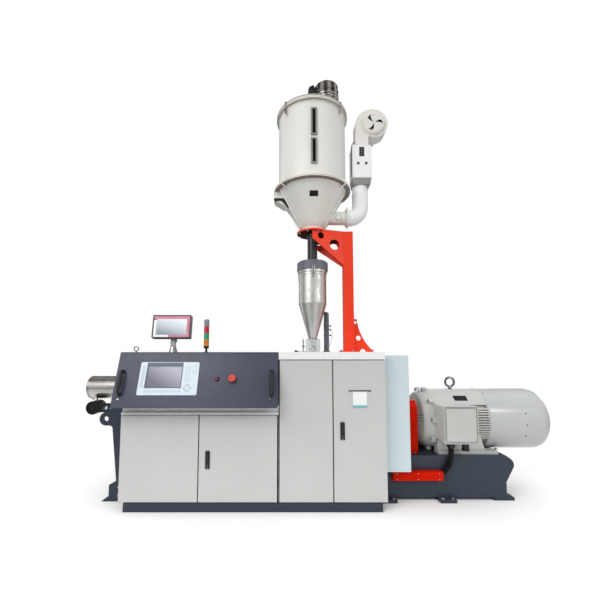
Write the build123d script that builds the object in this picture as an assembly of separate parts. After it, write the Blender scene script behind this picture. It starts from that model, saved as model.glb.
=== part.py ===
"""Single-screw plastic extruder with its hopper dryer and drive.

Millimetres. Working axes: X runs along the screw towards the motor, with zero at the feed throat;
Y is across the machine, with zero at the screw and the operator at the negative side; Z is up from the floor.
The last lines move everything so that the origin is on the floor under the middle of the machine.
"""
from build123d import *
from math import acos, atan2, cos, degrees, hypot, pi, radians, sin, sqrt
import os

# Heights and lengths of the line
SCREW_HEIGHT = 1100.0
OUTLET_REACH = 2520.0
SHEET = 4.0
SEAT = 0.3
NOTCH_CLEARANCE = 3.0

# Cabinets
CABINET_DEPTH = 1200.0
THROAT_TO_SPLIT = 370.0
LOW_CABINET_LENGTH = 1510.0
TALL_CABINET_LENGTH = 1035.0
LOW_CABINET_UNDER_SCREW = 115.0
TALL_CABINET_OVER_SCREW = 400.0
PLINTH_HEIGHT = 83.0
PLINTH_SETBACK = 50.0
PLINTH_WALL = 12.0
LOW_BAND_HEIGHT = 85.0
LOW_BAND_RECESS = 26.0
LOW_BAND_LIP = 18.0
TALL_BAND_HEIGHT = 73.0
BAND_DEPTH = 60.0

# Door leaves
LEAF_THICKNESS = 22.0
LEAF_SKIN = 4.0
LEAF_BORDER = 40.0
LEAF_GAP = 11.0
LEAF_FOOT_GAP = 8.0
LOW_LEAF_HEAD_GAP = 7.0
TALL_LEAF_HEAD_GAP = 8.0
LEAF_BACK_GAP = 6.0
HINGE_SIDE_GAP = 12.0
OUTER_SIDE_GAP = 2.0
LOW_LEFT_LEAF_WIDTH = 742.0
TALL_LEFT_LEAF_WIDTH = 507.0
PIVOT_R = 6.0
PIVOT_CLEARANCE = 0.3
PIVOT_DEPTH = 24.0

# Flush swing handles
HANDLE_WIDTH = 43.0
HANDLE_HEIGHT = 168.0
HANDLE_DISH = 6.0
HANDLE_GRIP_WIDTH = 26.0
HANDLE_GRIP_PROUD = 10.0
HANDLE_LOCK_R = 9.0
HANDLE_EDGE = 62.0
LOW_HANDLE_Z = 395.0
TALL_HANDLE_Z = 663.0

# Base frame
RAIL_OUTER_Y = 350.0
RAIL_WIDTH = 100.0
FOOT_PLATE = 30.0
RAIL_HEIGHT = 150.0
RAIL_OVERHANG = 130.0
RAIL_PAST_BODY = 114.0
CROSS_WIDTH = 90.0
FOOT_LENGTH = 160.0
FOOT_PROUD = 65.0
FOOT_SPACING = 592.0
FOOT_COUNT = 3
END_FOOT_LENGTH = 203.0
FOOT_END_PROUD = 75.0
TOE_HEIGHT = 35.0

# Motor pedestal
PEDESTAL_HEIGHT = 265.0
PEDESTAL_NOSE = 106.0
PEDESTAL_NOSE_R = 70.0
PEDESTAL_UNDER_COVER = 5.0

# Stand at the outlet end, with its lifting lug
STAND_THICKNESS = 20.0
STAND_GAP = 10.0
STAND_WIDTH = 130.0
STAND_TAPER = 56.0
STAND_TOP_CLEARANCE = 35.0
LUG_REACH = 256.0
LUG_DROP = 134.0
LUG_R = 68.0
LUG_HOLE_R = 25.0
STAND_FOOT_REACH = 144.0
STAND_FOOT_STEP = 70.0
STAND_FOOT_TOP = 200.0

# Cable duct and conduit
DUCT_FROM_CABINET = 105.0
DUCT_LIFT = 38.0
DUCT_HEIGHT = 85.0
DUCT_PROUD = 70.0
CONDUIT_R = 28.0
CONDUIT_BEND_R = 130.0
CONDUIT_FROM_BOX_EDGE = 132.0
CONDUIT_THROW = 100.0
GLAND_R = 34.0
GLAND_LENGTH = 28.0

# Motor
MOTOR_SHAFT_HEIGHT = 315.0
MOTOR_R = 322.0
FIN_DEPTH = 34.0
SHIELD_LENGTH = 178.0
SHIELD_NOSE_R = 200.0
SHIELD_RIM = 60.0
SHIELD_RIB_COUNT = 40
SHIELD_RIB_HEIGHT = 11.0
SHIELD_RIB_THICKNESS = 9.0
MOTOR_BODY_LENGTH = 568.0
BACK_RIM = 8.0
FIN_THICKNESS = 13.0
FIN_PITCH_DEG = 4.7
FIN_LOW_ANGLE = 30.0
CROWN_ANGLE = 34.0
FIN_ROOT = 12.0
MOTOR_FOOT_HALF_SPREAD = 317.5
MOTOR_FOOT_WIDTH = 120.0
MOTOR_FOOT_THICKNESS = 32.0
MOTOR_FOOT_FROM_SHIELD = 20.0
MOTOR_FOOT_LENGTH = 613.0
MOTOR_WEB_THICKNESS = 28.0
MOTOR_WEB_HEIGHT = 210.0
SHROUD_LENGTH = 660.0
SHROUD_ROUND = 90.0
SHROUD_GRILLE_R = 190.0
SHROUD_GRILLE_DEPTH = 12.0
SHROUD_SPOKES = 8
SHROUD_SPOKE_WIDTH = 12.0
SHROUD_HUB_R = 45.0
TROUGH_CLEARANCE = 8.0

# Terminal box
TERMINAL_WIDTH = 336.0
TERMINAL_HEIGHT = 364.0
TERMINAL_PROUD = 226.0
TERMINAL_FROM_FLANGE = 159.0
TERMINAL_DROP = 153.0
TERMINAL_INSET = 12.0
TERMINAL_LID = 34.0
TERMINAL_PANEL = 14.0
TERMINAL_PANEL_INSET = 26.0
TERMINAL_SEAT = 12.0

# Lifting eyes
EYE_R = 50.0
EYE_ROD = 13.0
EYE_FROM_FLANGE = 480.0
SMALL_EYE_SCALE = 0.45
SMALL_EYE_FROM_LEFT = 90.0

# Drive
GEARBOX_LEFT_X = 190.0
GEARBOX_HALF_DEPTH = 250.0
GEARBOX_HEADROOM = 130.0
GEARBOX_FLANGE = 20.0
GEARBOX_FLANGE_HEIGHT = 34.0
GEARBOX_CHAMFER = 24.0
DRIVE_COVER_LENGTH = 262.0
DRIVE_COVER_HALF_DEPTH = 500.0
DRIVE_COVER_LIFT = 152.0
DRIVE_COVER_DROP = 35.0
DRIVE_COVER_ROUND = 10.0
GUARD_LENGTH = 154.0
GUARD_HALF_DEPTH = 270.0
GUARD_OVER_MOTOR_AXIS = 220.0
GUARD_ROUND = 60.0

# Barrel and feed housing
BARREL_R = 85.0
BARREL_BORE_R = 37.5
BARREL_COVER_R = 125.0
BARREL_COVER_WALL = 2.5
BARREL_COVER_END_GAP = 80.0
TOP_SLOT_CLEARANCE = 13.0
END_RING = 3.0
OUTLET_FLANGE_R = 118.0
OUTLET_FLANGE_THICKNESS = 45.0
OUTLET_BOLT_PCD = 190.0
OUTLET_BOLT_COUNT = 8
OUTLET_BOLT_R = 9.0
FEED_HOUSING_HALF = 140.0
FEED_NECK_R = 58.0

# Barrel fan
FAN_FROM_OUTLET = 110.0
FAN_DROP = 207.0
FAN_R = 72.0
FAN_LENGTH = 150.0
FAN_FRONT_Y = -170.0
FAN_RIM = 8.0
FAN_RECESS = 10.0
FAN_HUB_R = 22.0
HANGER_R = 7.0
BRACKET_HEIGHT = 96.0
BRACKET_THICKNESS = 24.0
BRACKET_WINDOW = 44.0

# Console
CONSOLE_OVERHANG = 35.0
CONSOLE_RIGHT_GAP = 6.0
CONSOLE_FOOT_PROUD = 145.0
CONSOLE_HEAD_INSET = 20.0
CONSOLE_HEIGHT = 513.0
CONSOLE_SHEET = 5.0
BARREL_PASS_CLEARANCE = 2.0

# Operator panel and buttons
PANEL_FROM_LEFT = 225.0
PANEL_WIDTH = 560.0
PANEL_HEIGHT = 318.0
PANEL_THICKNESS = 8.0
PANEL_LIFT = 112.0
SCREEN_WIDTH = 345.0
SCREEN_HEIGHT = 225.0
SCREEN_FROM_LEFT = 62.0
SCREEN_LIFT = 68.0
SCREEN_RECESS = 3.0
LAMP_FROM_LEFT = 967.0
STOP_FROM_LEFT = 1111.0
BUTTON_LIFT = 259.0
LAMP_R = 14.0
STOP_COLLAR_R = 22.0
STOP_HEAD_R = 34.0
STOP_COLLAR = 22.0
STOP_HEAD = 18.0

# Console handles
BAR_R = 14.0
BAR_SPAN = 220.0
BAR_REACH = 48.0
BAR_BEND = 26.0
BAR_LIFT = 222.0
LEFT_BAR_INSET = 67.0
RIGHT_BAR_INSET = 58.0

# Monitor and stack light
MONITOR_FROM_LEFT = 465.0
MONITOR_Y = -450.0
MONITOR_LIFT = 124.0
MONITOR_WIDTH = 387.0
MONITOR_HEIGHT = 240.0
MONITOR_DEPTH = 52.0
MONITOR_BACK_DEPTH = 18.0
MONITOR_BACK_INSET = 40.0
MONITOR_FRAME = 14.0
MONITOR_GLASS_RECESS = 3.0
POST_R = 27.5
POST_BASE_R = 45.0
POST_BASE_HEIGHT = 55.0
POST_HEIGHT = 102.0
YOKE_HEAD_HEIGHT = 12.0
YOKE_HALF_WIDTH = 30.0
YOKE_THICKNESS = 24.0
YOKE_SETBACK = 22.0
TILT_PIN_R = 9.0
MONITOR_REST_TILT = 8.0
TILT_PIN_LIFT = 110.0
EAR_WIDTH = 16.0
STACK_FROM_LEFT = 802.0
STACK_R = 26.5
STACK_POLE_R = 9.0
STACK_POLE = 38.0
STACK_BASE = 24.0
STACK_LENS = 66.0
STACK_GROOVE = 4.0
STACK_CAP = 76.0

# Feed hopper over the throat
THROAT_HALF = 79.0
GATE_REACH = 92.0
GATE_HALF_WIDTH = 45.0
GATE_THICKNESS = 10.0
GATE_ROD_R = 6.0
GATE_ROD_HEIGHT = 120.0
GATE_KNOB_R = 17.0
FEED_BASE_HEIGHT = 140.0
FEED_CONE_HEIGHT = 410.0
FEED_BODY_HEIGHT = 387.0
FEED_LID_HEIGHT = 107.0
FEED_WALL = 3.0
FEED_R = 161.0
FEED_RIM = 8.0
FEED_RIM_HEIGHT = 26.0
FEED_LID_R = 180.0
FEED_LID_CHAMFER = 16.0
FEED_OUTLET_R = 40.0
HOSE_R = 56.0
HOSE_HEIGHT = 339.0
CUFF_HEIGHT = 30.0
CUFF_THICKNESS = 4.0
SIDE_TUBE_R = 30.0
SIDE_TUBE_X = 165.0
SIDE_TUBE_Y = 64.0
SIDE_TUBE_HEIGHT = 470.0
SIDE_TUBE_CUT_DEG = 35.0

# Support of the dryer
COLUMN_FROM_THROAT = 357.0
COLUMN_WIDTH = 113.0
COLUMN_HALF_DEPTH = 55.0
ARM_PLATE = 12.0
ARM_NOSE_PAST_THROAT = 25.0
ARM_SPREAD_HALF = 170.0
ARM_NOSE_HEIGHT = 110.0
ARM_ROOT_HEIGHT = 400.0
SMALL_HOLE_X = 78.0
SMALL_HOLE_DROP = 73.0
SMALL_HOLE_R = 38.0
LARGE_HOLE_X = 246.0
LARGE_HOLE_DROP = 166.0
LARGE_HOLE_R = 61.0
GUSSET_HEIGHT = 380.0
GUSSET_REACH = 235.0
GUSSET_HEAD = 40.0
GUSSET_HOLLOW = 62.0
GUSSET_TOP_HOLE_R = 16.0
GUSSET_MID_HOLE_R = 27.0
GUSSET_FOOT_HOLE_R = 33.0
FLANGE_R = 180.0
FLANGE_THICKNESS = 20.0

# Dryer
DRYER_R = 395.0
DRYER_WALL = 30.0
DRYER_OUTLET_R = 134.0
DRYER_NECK_HEIGHT = 37.0
DRYER_CONE_HEIGHT = 445.0
DRYER_BODY_HEIGHT = 905.0
DRYER_RING_R = 450.0
DRYER_RING_THICKNESS = 9.0
DRYER_RIM = 22.0
DRYER_RIM_HEIGHT = 14.0
LID_THICKNESS = 26.0
GLASS_WIDTH = 65.0
GLASS_PROUD = 12.0
LOW_GLASS_LIFT = 148.0
LOW_GLASS_HEIGHT = 289.0
HIGH_GLASS_LIFT = 471.0
HIGH_GLASS_HEIGHT = 311.0
PORT_WIDTH = 160.0
PORT_HEIGHT = 100.0
PORT_REACH = 110.0
LOADER_FROM_AXIS = 179.0
LOADER_R = 141.0
LOADER_HEIGHT = 404.0
LOADER_BAND = 8.0
LOADER_BAND_HEIGHT = 24.0
LOADER_BAND_LIFT = 300.0
LOADER_CAP_R = 85.0
LOADER_CAP_REACH = 72.0
LOADER_CAP_DROP = 92.0

# Hot air
AIR_RISE = 140.0
AIR_PIPE_R = 77.5
AIR_CLAMP_X = 425.0
AIR_CLAMP_WIDTH = 26.0
AIR_CLAMP_PROUD = 10.0
RISER_FROM_AXIS = 570.0
RISER_R = 92.0
RISER_BEND_R = 132.0
RISER_HEIGHT = 444.0
BOX_PAST_RISER = 120.0
BOX_WIDTH = 226.0
BOX_FRONT_Y = -120.0
BOX_DEPTH = 190.0
BOX_HEIGHT = 392.0
BOX_ROUND = 6.0
SCROLL_R = 150.0
SCROLL_GROWTH = 60.0
SCROLL_DEPTH = 150.0
SCROLL_FRONT_Y = -110.0
SCROLL_STATIONS = 10
SCROLL_LIFT = 264.0
SCROLL_OUTLET_WIDTH = 150.0
SCROLL_SHIFT = 29.0
BLOWER_MOTOR_R = 88.0
BLOWER_MOTOR_LENGTH = 170.0
INLET_R = 128.0
INLET_DEPTH = 40.0
INLET_SKIN = 5.0
INLET_EYE_R = 95.0
BLADE_COUNT = 3

split_x = -THROAT_TO_SPLIT
low_left_x = split_x - LOW_CABINET_LENGTH
tall_right_x = split_x + TALL_CABINET_LENGTH
low_top = SCREW_HEIGHT - LOW_CABINET_UNDER_SCREW
tall_top = SCREW_HEIGHT + TALL_CABINET_OVER_SCREW
front_y = -CABINET_DEPTH / 2
back_y = CABINET_DEPTH / 2
carcass_front_y = front_y + LEAF_THICKNESS + LEAF_BACK_GAP

rail_top = FOOT_PLATE + RAIL_HEIGHT
pedestal_top = rail_top + PEDESTAL_HEIGHT
motor_z = pedestal_top + MOTOR_SHAFT_HEIGHT
drive_cover_left_x = tall_right_x
drive_cover_right_x = drive_cover_left_x + DRIVE_COVER_LENGTH
drive_cover_bottom = rail_top + DRIVE_COVER_LIFT
flange_x = drive_cover_right_x + GUARD_LENGTH
shield_end_x = flange_x + SHIELD_LENGTH
body_end_x = shield_end_x + MOTOR_BODY_LENGTH
shroud_end_x = body_end_x + SHROUD_LENGTH
rail_right_x = body_end_x + RAIL_PAST_BODY
terminal_left_x = flange_x + TERMINAL_FROM_FLANGE
terminal_bottom = motor_z - TERMINAL_DROP
terminal_front_y = -MOTOR_R - TERMINAL_PROUD
conduit_x = terminal_left_x + CONDUIT_FROM_BOX_EDGE
duct_left_x = tall_right_x + DUCT_FROM_CABINET
duct_right_x = conduit_x - CONDUIT_THROW
duct_y = -RAIL_OUTER_Y - DUCT_PROUD / 2

outlet_x = -OUTLET_REACH
cover_right_x = split_x - BARREL_COVER_END_GAP
console_left_x = low_left_x - CONSOLE_OVERHANG
console_right_x = split_x - CONSOLE_RIGHT_GAP
console_top = low_top + CONSOLE_HEIGHT
console_foot_y = front_y - CONSOLE_FOOT_PROUD
console_head_y = front_y + CONSOLE_HEAD_INSET
console_lean = degrees(atan2(console_head_y - console_foot_y, CONSOLE_HEIGHT))
monitor_x = console_left_x + MONITOR_FROM_LEFT

feed_base_top = tall_top + FEED_BASE_HEIGHT
feed_cone_top = feed_base_top + FEED_CONE_HEIGHT
feed_body_top = feed_cone_top + FEED_BODY_HEIGHT
feed_lid_top = feed_body_top + FEED_LID_HEIGHT
arm_top = feed_lid_top + HOSE_HEIGHT + FLANGE_THICKNESS
cone_bottom = arm_top + DRYER_NECK_HEIGHT
cone_top = cone_bottom + DRYER_CONE_HEIGHT
dryer_top = cone_top + DRYER_BODY_HEIGHT
lid_top = dryer_top + LID_THICKNESS
air_z = cone_bottom + AIR_RISE
box_bottom = air_z + RISER_HEIGHT
box_top = box_bottom + BOX_HEIGHT
box_left_x = RISER_FROM_AXIS + BOX_PAST_RISER - BOX_WIDTH
scroll_x = RISER_FROM_AXIS + BOX_PAST_RISER + SCROLL_SHIFT
scroll_z = box_top + SCROLL_LIFT

pieces = {}


def block(x0, x1, y0, y1, z0, z1):
    """Plain block between two corners."""
    return Pos((x0 + x1) / 2, (y0 + y1) / 2, (z0 + z1) / 2) * Box(x1 - x0, y1 - y0, z1 - z0)


def upright(r, z0, z1, x=0.0, y=0.0):
    """Cylinder standing on Z."""
    return Pos(x, y, (z0 + z1) / 2) * Cylinder(r, z1 - z0)


def along_x(r, x0, x1, y=0.0, z=0.0):
    """Cylinder lying along X."""
    return Pos((x0 + x1) / 2, y, z) * Rot(0, 90, 0) * Cylinder(r, x1 - x0)


def along_y(r, y0, y1, x=0.0, z=0.0):
    """Cylinder lying along Y."""
    return Pos(x, (y0 + y1) / 2, z) * Rot(90, 0, 0) * Cylinder(r, y1 - y0)


def cone_z(r0, r1, z0, z1, x=0.0, y=0.0):
    """Cone standing on Z, with its lower radius first."""
    return Pos(x, y, (z0 + z1) / 2) * Cone(r0, r1, z1 - z0)


def plate_xz(face, y0, y1):
    """Plate between two Y planes, cut from a face drawn with X across and Z up."""
    return Pos(0, y1, 0) * Rot(90, 0, 0) * extrude(face, y1 - y0)


def outline(*points):
    """Flat face inside straight edges."""
    return make_face(Polyline(*points, close=True))


def edge_near(shape, axis, x, z):
    """The edge along an axis that lies nearest to a place seen from the front."""
    return shape.edges().filter_by(axis).sort_by(lambda e: hypot(e.center().X - x, e.center().Z - z))[0]


def mirrored_pair(low, high):
    """The Y spans of a piece and of its mirror image across the machine."""
    return ((-high, -low), (low, high))


def add(name, *shapes):
    """Keep the solids of one piece under its name."""
    pieces[name] = [solid for shape in shapes for solid in shape.solids()]


# Base

def base_frame():
    """Two box beams joined by cross beams, standing on foot plates with sloping toes at the motor end."""
    inner = RAIL_OUTER_Y - RAIL_WIDTH
    left = low_left_x - RAIL_OVERHANG
    frame = block(left, left + CROSS_WIDTH, -inner, inner, FOOT_PLATE, rail_top)
    end_foot_x = rail_right_x + FOOT_END_PROUD - END_FOOT_LENGTH / 2
    foot_centres = [end_foot_x - i * FOOT_SPACING for i in range(FOOT_COUNT)]
    for x in [split_x + CROSS_WIDTH] + foot_centres:
        end = min(x + CROSS_WIDTH / 2, rail_right_x)
        frame += block(end - CROSS_WIDTH, end, -inner, inner, FOOT_PLATE, rail_top)
    toe = outline((rail_right_x, FOOT_PLATE), (rail_right_x + FOOT_END_PROUD, FOOT_PLATE),
                  (rail_right_x, FOOT_PLATE + TOE_HEIGHT))
    for y0, y1 in mirrored_pair(inner, RAIL_OUTER_Y):
        frame += block(left, rail_right_x, y0, y1, FOOT_PLATE, rail_top)
        frame += plate_xz(toe, y0, y1)
        frame += block(end_foot_x - END_FOOT_LENGTH / 2, rail_right_x + FOOT_END_PROUD, y0, y1, 0, FOOT_PLATE)
    for y0, y1 in mirrored_pair(inner, RAIL_OUTER_Y + FOOT_PROUD):
        for x in foot_centres[1:]:
            frame += block(x - FOOT_LENGTH / 2, x + FOOT_LENGTH / 2, y0, y1, 0, FOOT_PLATE)
    return frame


def motor_pedestal():
    """Welded box that lifts the motor, with a rounded nose at its free end and a trough under the motor."""
    step_x = drive_cover_right_x
    low = drive_cover_bottom - PEDESTAL_UNDER_COVER
    left = tall_right_x + STAND_GAP
    nose_x = rail_right_x + PEDESTAL_NOSE
    nose_z = rail_top + PEDESTAL_HEIGHT * 0.72
    face = outline((left, rail_top), (rail_right_x, rail_top), (nose_x, nose_z),
                   (rail_right_x + PEDESTAL_NOSE * 0.06, pedestal_top), (step_x, pedestal_top),
                   (step_x, low), (left, low))
    shape = plate_xz(face, -RAIL_OUTER_Y, RAIL_OUTER_Y)
    shape = fillet(edge_near(shape, Axis.Y, nose_x, nose_z), PEDESTAL_NOSE_R)
    return shape - along_x(MOTOR_R + TROUGH_CLEARANCE, left, nose_x + 1, 0, motor_z)


def stand_plates():
    """Two tapered plates bolted outside the beams, each with a round lug for lifting."""
    right = low_left_x - STAND_GAP
    top = low_top - STAND_TOP_CLEARANCE
    post = right - STAND_WIDTH
    lug_x = right - LUG_REACH
    lug_z = top - LUG_DROP
    shoulder_x = post - STAND_TAPER
    shoulder_z = lug_z - LUG_R * 1.6
    step_x = post - STAND_FOOT_STEP
    face = outline((right, 0), (right, top), (shoulder_x, top), (lug_x, lug_z + LUG_R),
                   (lug_x, lug_z - LUG_R), (shoulder_x, lug_z - LUG_R), (shoulder_x, shoulder_z),
                   (post, STAND_FOOT_TOP),
                   (step_x, STAND_FOOT_TOP * 0.8), (step_x, STAND_FOOT_TOP * 0.27),
                   (post - STAND_FOOT_REACH, 0))
    plates = []
    for y0, y1 in mirrored_pair(RAIL_OUTER_Y, RAIL_OUTER_Y + STAND_THICKNESS):
        plate = plate_xz(face, y0, y1)
        plate = fillet(edge_near(plate, Axis.Y, shoulder_x, lug_z - LUG_R), LUG_R * 0.5)
        plate += along_y(LUG_R, y0, y1, lug_x, lug_z)
        plates.append(plate - along_y(LUG_HOLE_R, y0 - 1, y1 + 1, lug_x, lug_z))
    return plates


def plinth():
    """Low skirt under both cabinets: front and back channels that meet the outer faces of the beams."""
    x0 = low_left_x + PLINTH_SETBACK
    x1 = tall_right_x - PLINTH_SETBACK
    shell = block(x0, x1, front_y, back_y, 0, PLINTH_HEIGHT)
    shell -= block(x0 + PLINTH_WALL, x1 - PLINTH_WALL, front_y + PLINTH_WALL, back_y - PLINTH_WALL,
                   -1, PLINTH_HEIGHT + 1)
    room = RAIL_OUTER_Y + SEAT
    return shell - block(x0 - 1, x1 + 1, -room, room, -1, PLINTH_HEIGHT + 1)


def cable_duct():
    return block(duct_left_x, duct_right_x, -RAIL_OUTER_Y - DUCT_PROUD, -RAIL_OUTER_Y, rail_top + DUCT_LIFT,
                 rail_top + DUCT_LIFT + DUCT_HEIGHT)


def motor_conduit():
    """Conduit from a gland under the terminal box, bent into the end of the duct."""
    end_z = rail_top + DUCT_LIFT + DUCT_HEIGHT / 2
    start_z = terminal_bottom - GLAND_LENGTH
    corner_z = end_z + CONDUIT_THROW * 1.3
    past = CONDUIT_R * 2
    slope_end = (duct_right_x - past, duct_y, end_z - past * 1.3)
    path = FilletPolyline((conduit_x, duct_y, start_z), (conduit_x, duct_y, corner_z), slope_end,
                          radius=CONDUIT_BEND_R)
    section = Plane(origin=(conduit_x, duct_y, start_z), z_dir=(0, 0, -1)) * RegularPolygon(CONDUIT_R, 12)
    tube = sweep(section, path)
    return tube - block(duct_right_x - 4 * past, duct_right_x, duct_y - past, duct_y + past, 0, start_z)


# Cabinets

def cabinet_side_walls():
    """Three upright sheets, notched for the beams, the barrel and the gearbox."""
    def wall(x0, top):
        sheet = block(x0, x0 + SHEET, carcass_front_y, back_y, PLINTH_HEIGHT, top - SHEET)
        for y0, y1 in mirrored_pair(RAIL_OUTER_Y - RAIL_WIDTH, RAIL_OUTER_Y):
            sheet -= block(x0 - 1, x0 + SHEET + 1, y0 - NOTCH_CLEARANCE, y1 + NOTCH_CLEARANCE, 0,
                           rail_top + NOTCH_CLEARANCE)
        return sheet

    low = wall(low_left_x, low_top)
    low -= along_x(BARREL_COVER_R + NOTCH_CLEARANCE, low_left_x - 1, low_left_x + SHEET + 1, 0, SCREW_HEIGHT)
    middle = wall(split_x, tall_top)
    middle -= along_x(BARREL_R + NOTCH_CLEARANCE, split_x - 1, split_x + SHEET + 1, 0, SCREW_HEIGHT)
    right = wall(tall_right_x - SHEET, tall_top)
    half = GEARBOX_HALF_DEPTH + GEARBOX_FLANGE + NOTCH_CLEARANCE
    right -= block(tall_right_x - SHEET - 1, tall_right_x + 1, -half, half, 0,
                   tall_top - GEARBOX_HEADROOM + NOTCH_CLEARANCE)
    return low, middle, right


def cabinet_back_panels():
    inside = back_y - SHEET
    low = block(low_left_x + SHEET, split_x, inside, back_y, PLINTH_HEIGHT, low_top - SHEET)
    tall = block(split_x + SHEET, tall_right_x - SHEET, inside, back_y, PLINTH_HEIGHT, tall_top - SHEET)
    return low, tall


def cabinet_tops():
    """Top sheets, the low one slotted for the barrel cover and the tall one pierced for the feed neck."""
    low = block(low_left_x, split_x, front_y, back_y, low_top - SHEET, low_top)
    reach = sqrt(BARREL_COVER_R ** 2 - min(LOW_CABINET_UNDER_SCREW, BARREL_COVER_R) ** 2)
    half = reach + TOP_SLOT_CLEARANCE
    slot_right = cover_right_x + NOTCH_CLEARANCE
    low -= block(low_left_x - 1, slot_right, -half, half, low_top - SHEET - 1, low_top + 1)
    tall = block(split_x, tall_right_x, front_y, back_y, tall_top - SHEET, tall_top)
    tall -= upright(FEED_NECK_R + NOTCH_CLEARANCE, tall_top - SHEET - 1, tall_top + 1)
    return low, tall


def cabinet_front_bands():
    """Fixed bands above the leaves. The low one stands back over a lip."""
    bands = []
    for x0, x1, top, height, recess, lip in (
            (low_left_x, split_x, low_top, LOW_BAND_HEIGHT, LOW_BAND_RECESS, LOW_BAND_LIP),
            (split_x, tall_right_x, tall_top, TALL_BAND_HEIGHT, 0, TALL_BAND_HEIGHT)):
        band = block(x0, x1, front_y, front_y + BAND_DEPTH, top - height, top - height + lip)
        band += block(x0, x1, front_y + recess, front_y + BAND_DEPTH, top - height, top)
        band -= block(x0, x1, front_y, front_y + BAND_DEPTH, top - SHEET, top + 1)
        for wall_x in (low_left_x, split_x, tall_right_x - SHEET):
            band -= block(wall_x, wall_x + SHEET, carcass_front_y, front_y + BAND_DEPTH + 1, 0, tall_top)
        bands.append(band)
    return bands


# Door leaves: sheet trays that turn on pins in the band above and in the plinth below
LEAF_GAPS = HINGE_SIDE_GAP + OUTER_SIDE_GAP + LEAF_GAP
LEAVES = {
    "low_door_left": ("left", low_left_x + OUTER_SIDE_GAP, LOW_LEFT_LEAF_WIDTH, low_top - LOW_BAND_HEIGHT,
                      LOW_LEAF_HEAD_GAP),
    "low_door_right": ("right", split_x - HINGE_SIDE_GAP, LOW_CABINET_LENGTH - LEAF_GAPS - LOW_LEFT_LEAF_WIDTH,
                       low_top - LOW_BAND_HEIGHT, LOW_LEAF_HEAD_GAP),
    "tall_door_left": ("left", split_x + HINGE_SIDE_GAP, TALL_LEFT_LEAF_WIDTH, tall_top - TALL_BAND_HEIGHT,
                       TALL_LEAF_HEAD_GAP),
    "tall_door_right": ("right", tall_right_x - OUTER_SIDE_GAP,
                        TALL_CABINET_LENGTH - LEAF_GAPS - TALL_LEFT_LEAF_WIDTH,
                        tall_top - TALL_BAND_HEIGHT, TALL_LEAF_HEAD_GAP),
}
leaf_foot = PLINTH_HEIGHT + LEAF_FOOT_GAP
pivot_y = front_y + LEAF_THICKNESS / 2


def pivot_x(side, edge):
    return edge + LEAF_THICKNESS / 2 if side == "left" else edge - LEAF_THICKNESS / 2


def door_leaf(name):
    side, edge, width, band_bottom, head_gap = LEAVES[name]
    x0, x1 = (edge, edge + width) if side == "left" else (edge - width, edge)
    head = band_bottom - head_gap
    leaf = block(x0, x1, front_y, front_y + LEAF_THICKNESS, leaf_foot, head)
    leaf -= block(x0 + LEAF_BORDER, x1 - LEAF_BORDER, front_y + LEAF_SKIN, front_y + LEAF_THICKNESS + 1,
                  leaf_foot + LEAF_BORDER, head - LEAF_BORDER)
    for low, high in ((leaf_foot - 1, leaf_foot + PIVOT_DEPTH), (head - PIVOT_DEPTH, head + 1)):
        leaf -= upright(PIVOT_R + PIVOT_CLEARANCE, low, high, pivot_x(side, edge), pivot_y)
    return leaf


def door_pivot_pins():
    pins = []
    for side, edge, width, band_bottom, head_gap in LEAVES.values():
        x = pivot_x(side, edge)
        pins.append(upright(PIVOT_R, PLINTH_HEIGHT, leaf_foot + PIVOT_DEPTH - 2, x, pivot_y))
        pins.append(upright(PIVOT_R, band_bottom - head_gap - PIVOT_DEPTH + 2, band_bottom, x, pivot_y))
    return pins


def door_handle(name, z):
    """Swing handle: a shallow dish with a raised grip and a round lock at its foot."""
    side, edge, width, band_bottom, head_gap = LEAVES[name]
    x0 = edge - width + HANDLE_EDGE
    mid = x0 + HANDLE_WIDTH / 2
    dish = block(x0, x0 + HANDLE_WIDTH, front_y - HANDLE_DISH, front_y, z, z + HANDLE_HEIGHT)
    dish = chamfer(dish.edges().filter_by(Axis.Y), HANDLE_DISH)
    y = front_y - HANDLE_DISH
    grip = block(mid - HANDLE_GRIP_WIDTH / 2, mid + HANDLE_GRIP_WIDTH / 2, y - HANDLE_GRIP_PROUD, y,
                 z + HANDLE_HEIGHT * 0.3, z + HANDLE_HEIGHT * 0.96)
    grip = chamfer(grip.faces().sort_by(Axis.Y)[0].edges(), HANDLE_GRIP_PROUD * 0.4)
    lock = along_y(HANDLE_LOCK_R, y - HANDLE_GRIP_PROUD * 0.6, y, mid, z + HANDLE_HEIGHT * 0.15)
    return dish + grip + lock


# Extrusion unit

def barrel():
    """Plain barrel with a drilled flange at the outlet."""
    unit = along_x(BARREL_R, outlet_x, -FEED_HOUSING_HALF, 0, SCREW_HEIGHT)
    unit += along_x(OUTLET_FLANGE_R, outlet_x, outlet_x + OUTLET_FLANGE_THICKNESS, 0, SCREW_HEIGHT)
    unit -= along_x(BARREL_BORE_R, outlet_x - 1, 0, 0, SCREW_HEIGHT)
    for i in range(OUTLET_BOLT_COUNT):
        angle = 2 * pi * (i + 0.5) / OUTLET_BOLT_COUNT
        y = OUTLET_BOLT_PCD / 2 * cos(angle)
        z = SCREW_HEIGHT + OUTLET_BOLT_PCD / 2 * sin(angle)
        unit -= along_x(OUTLET_BOLT_R, outlet_x - 1, outlet_x + OUTLET_FLANGE_THICKNESS + 1, y, z)
    return unit


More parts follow.
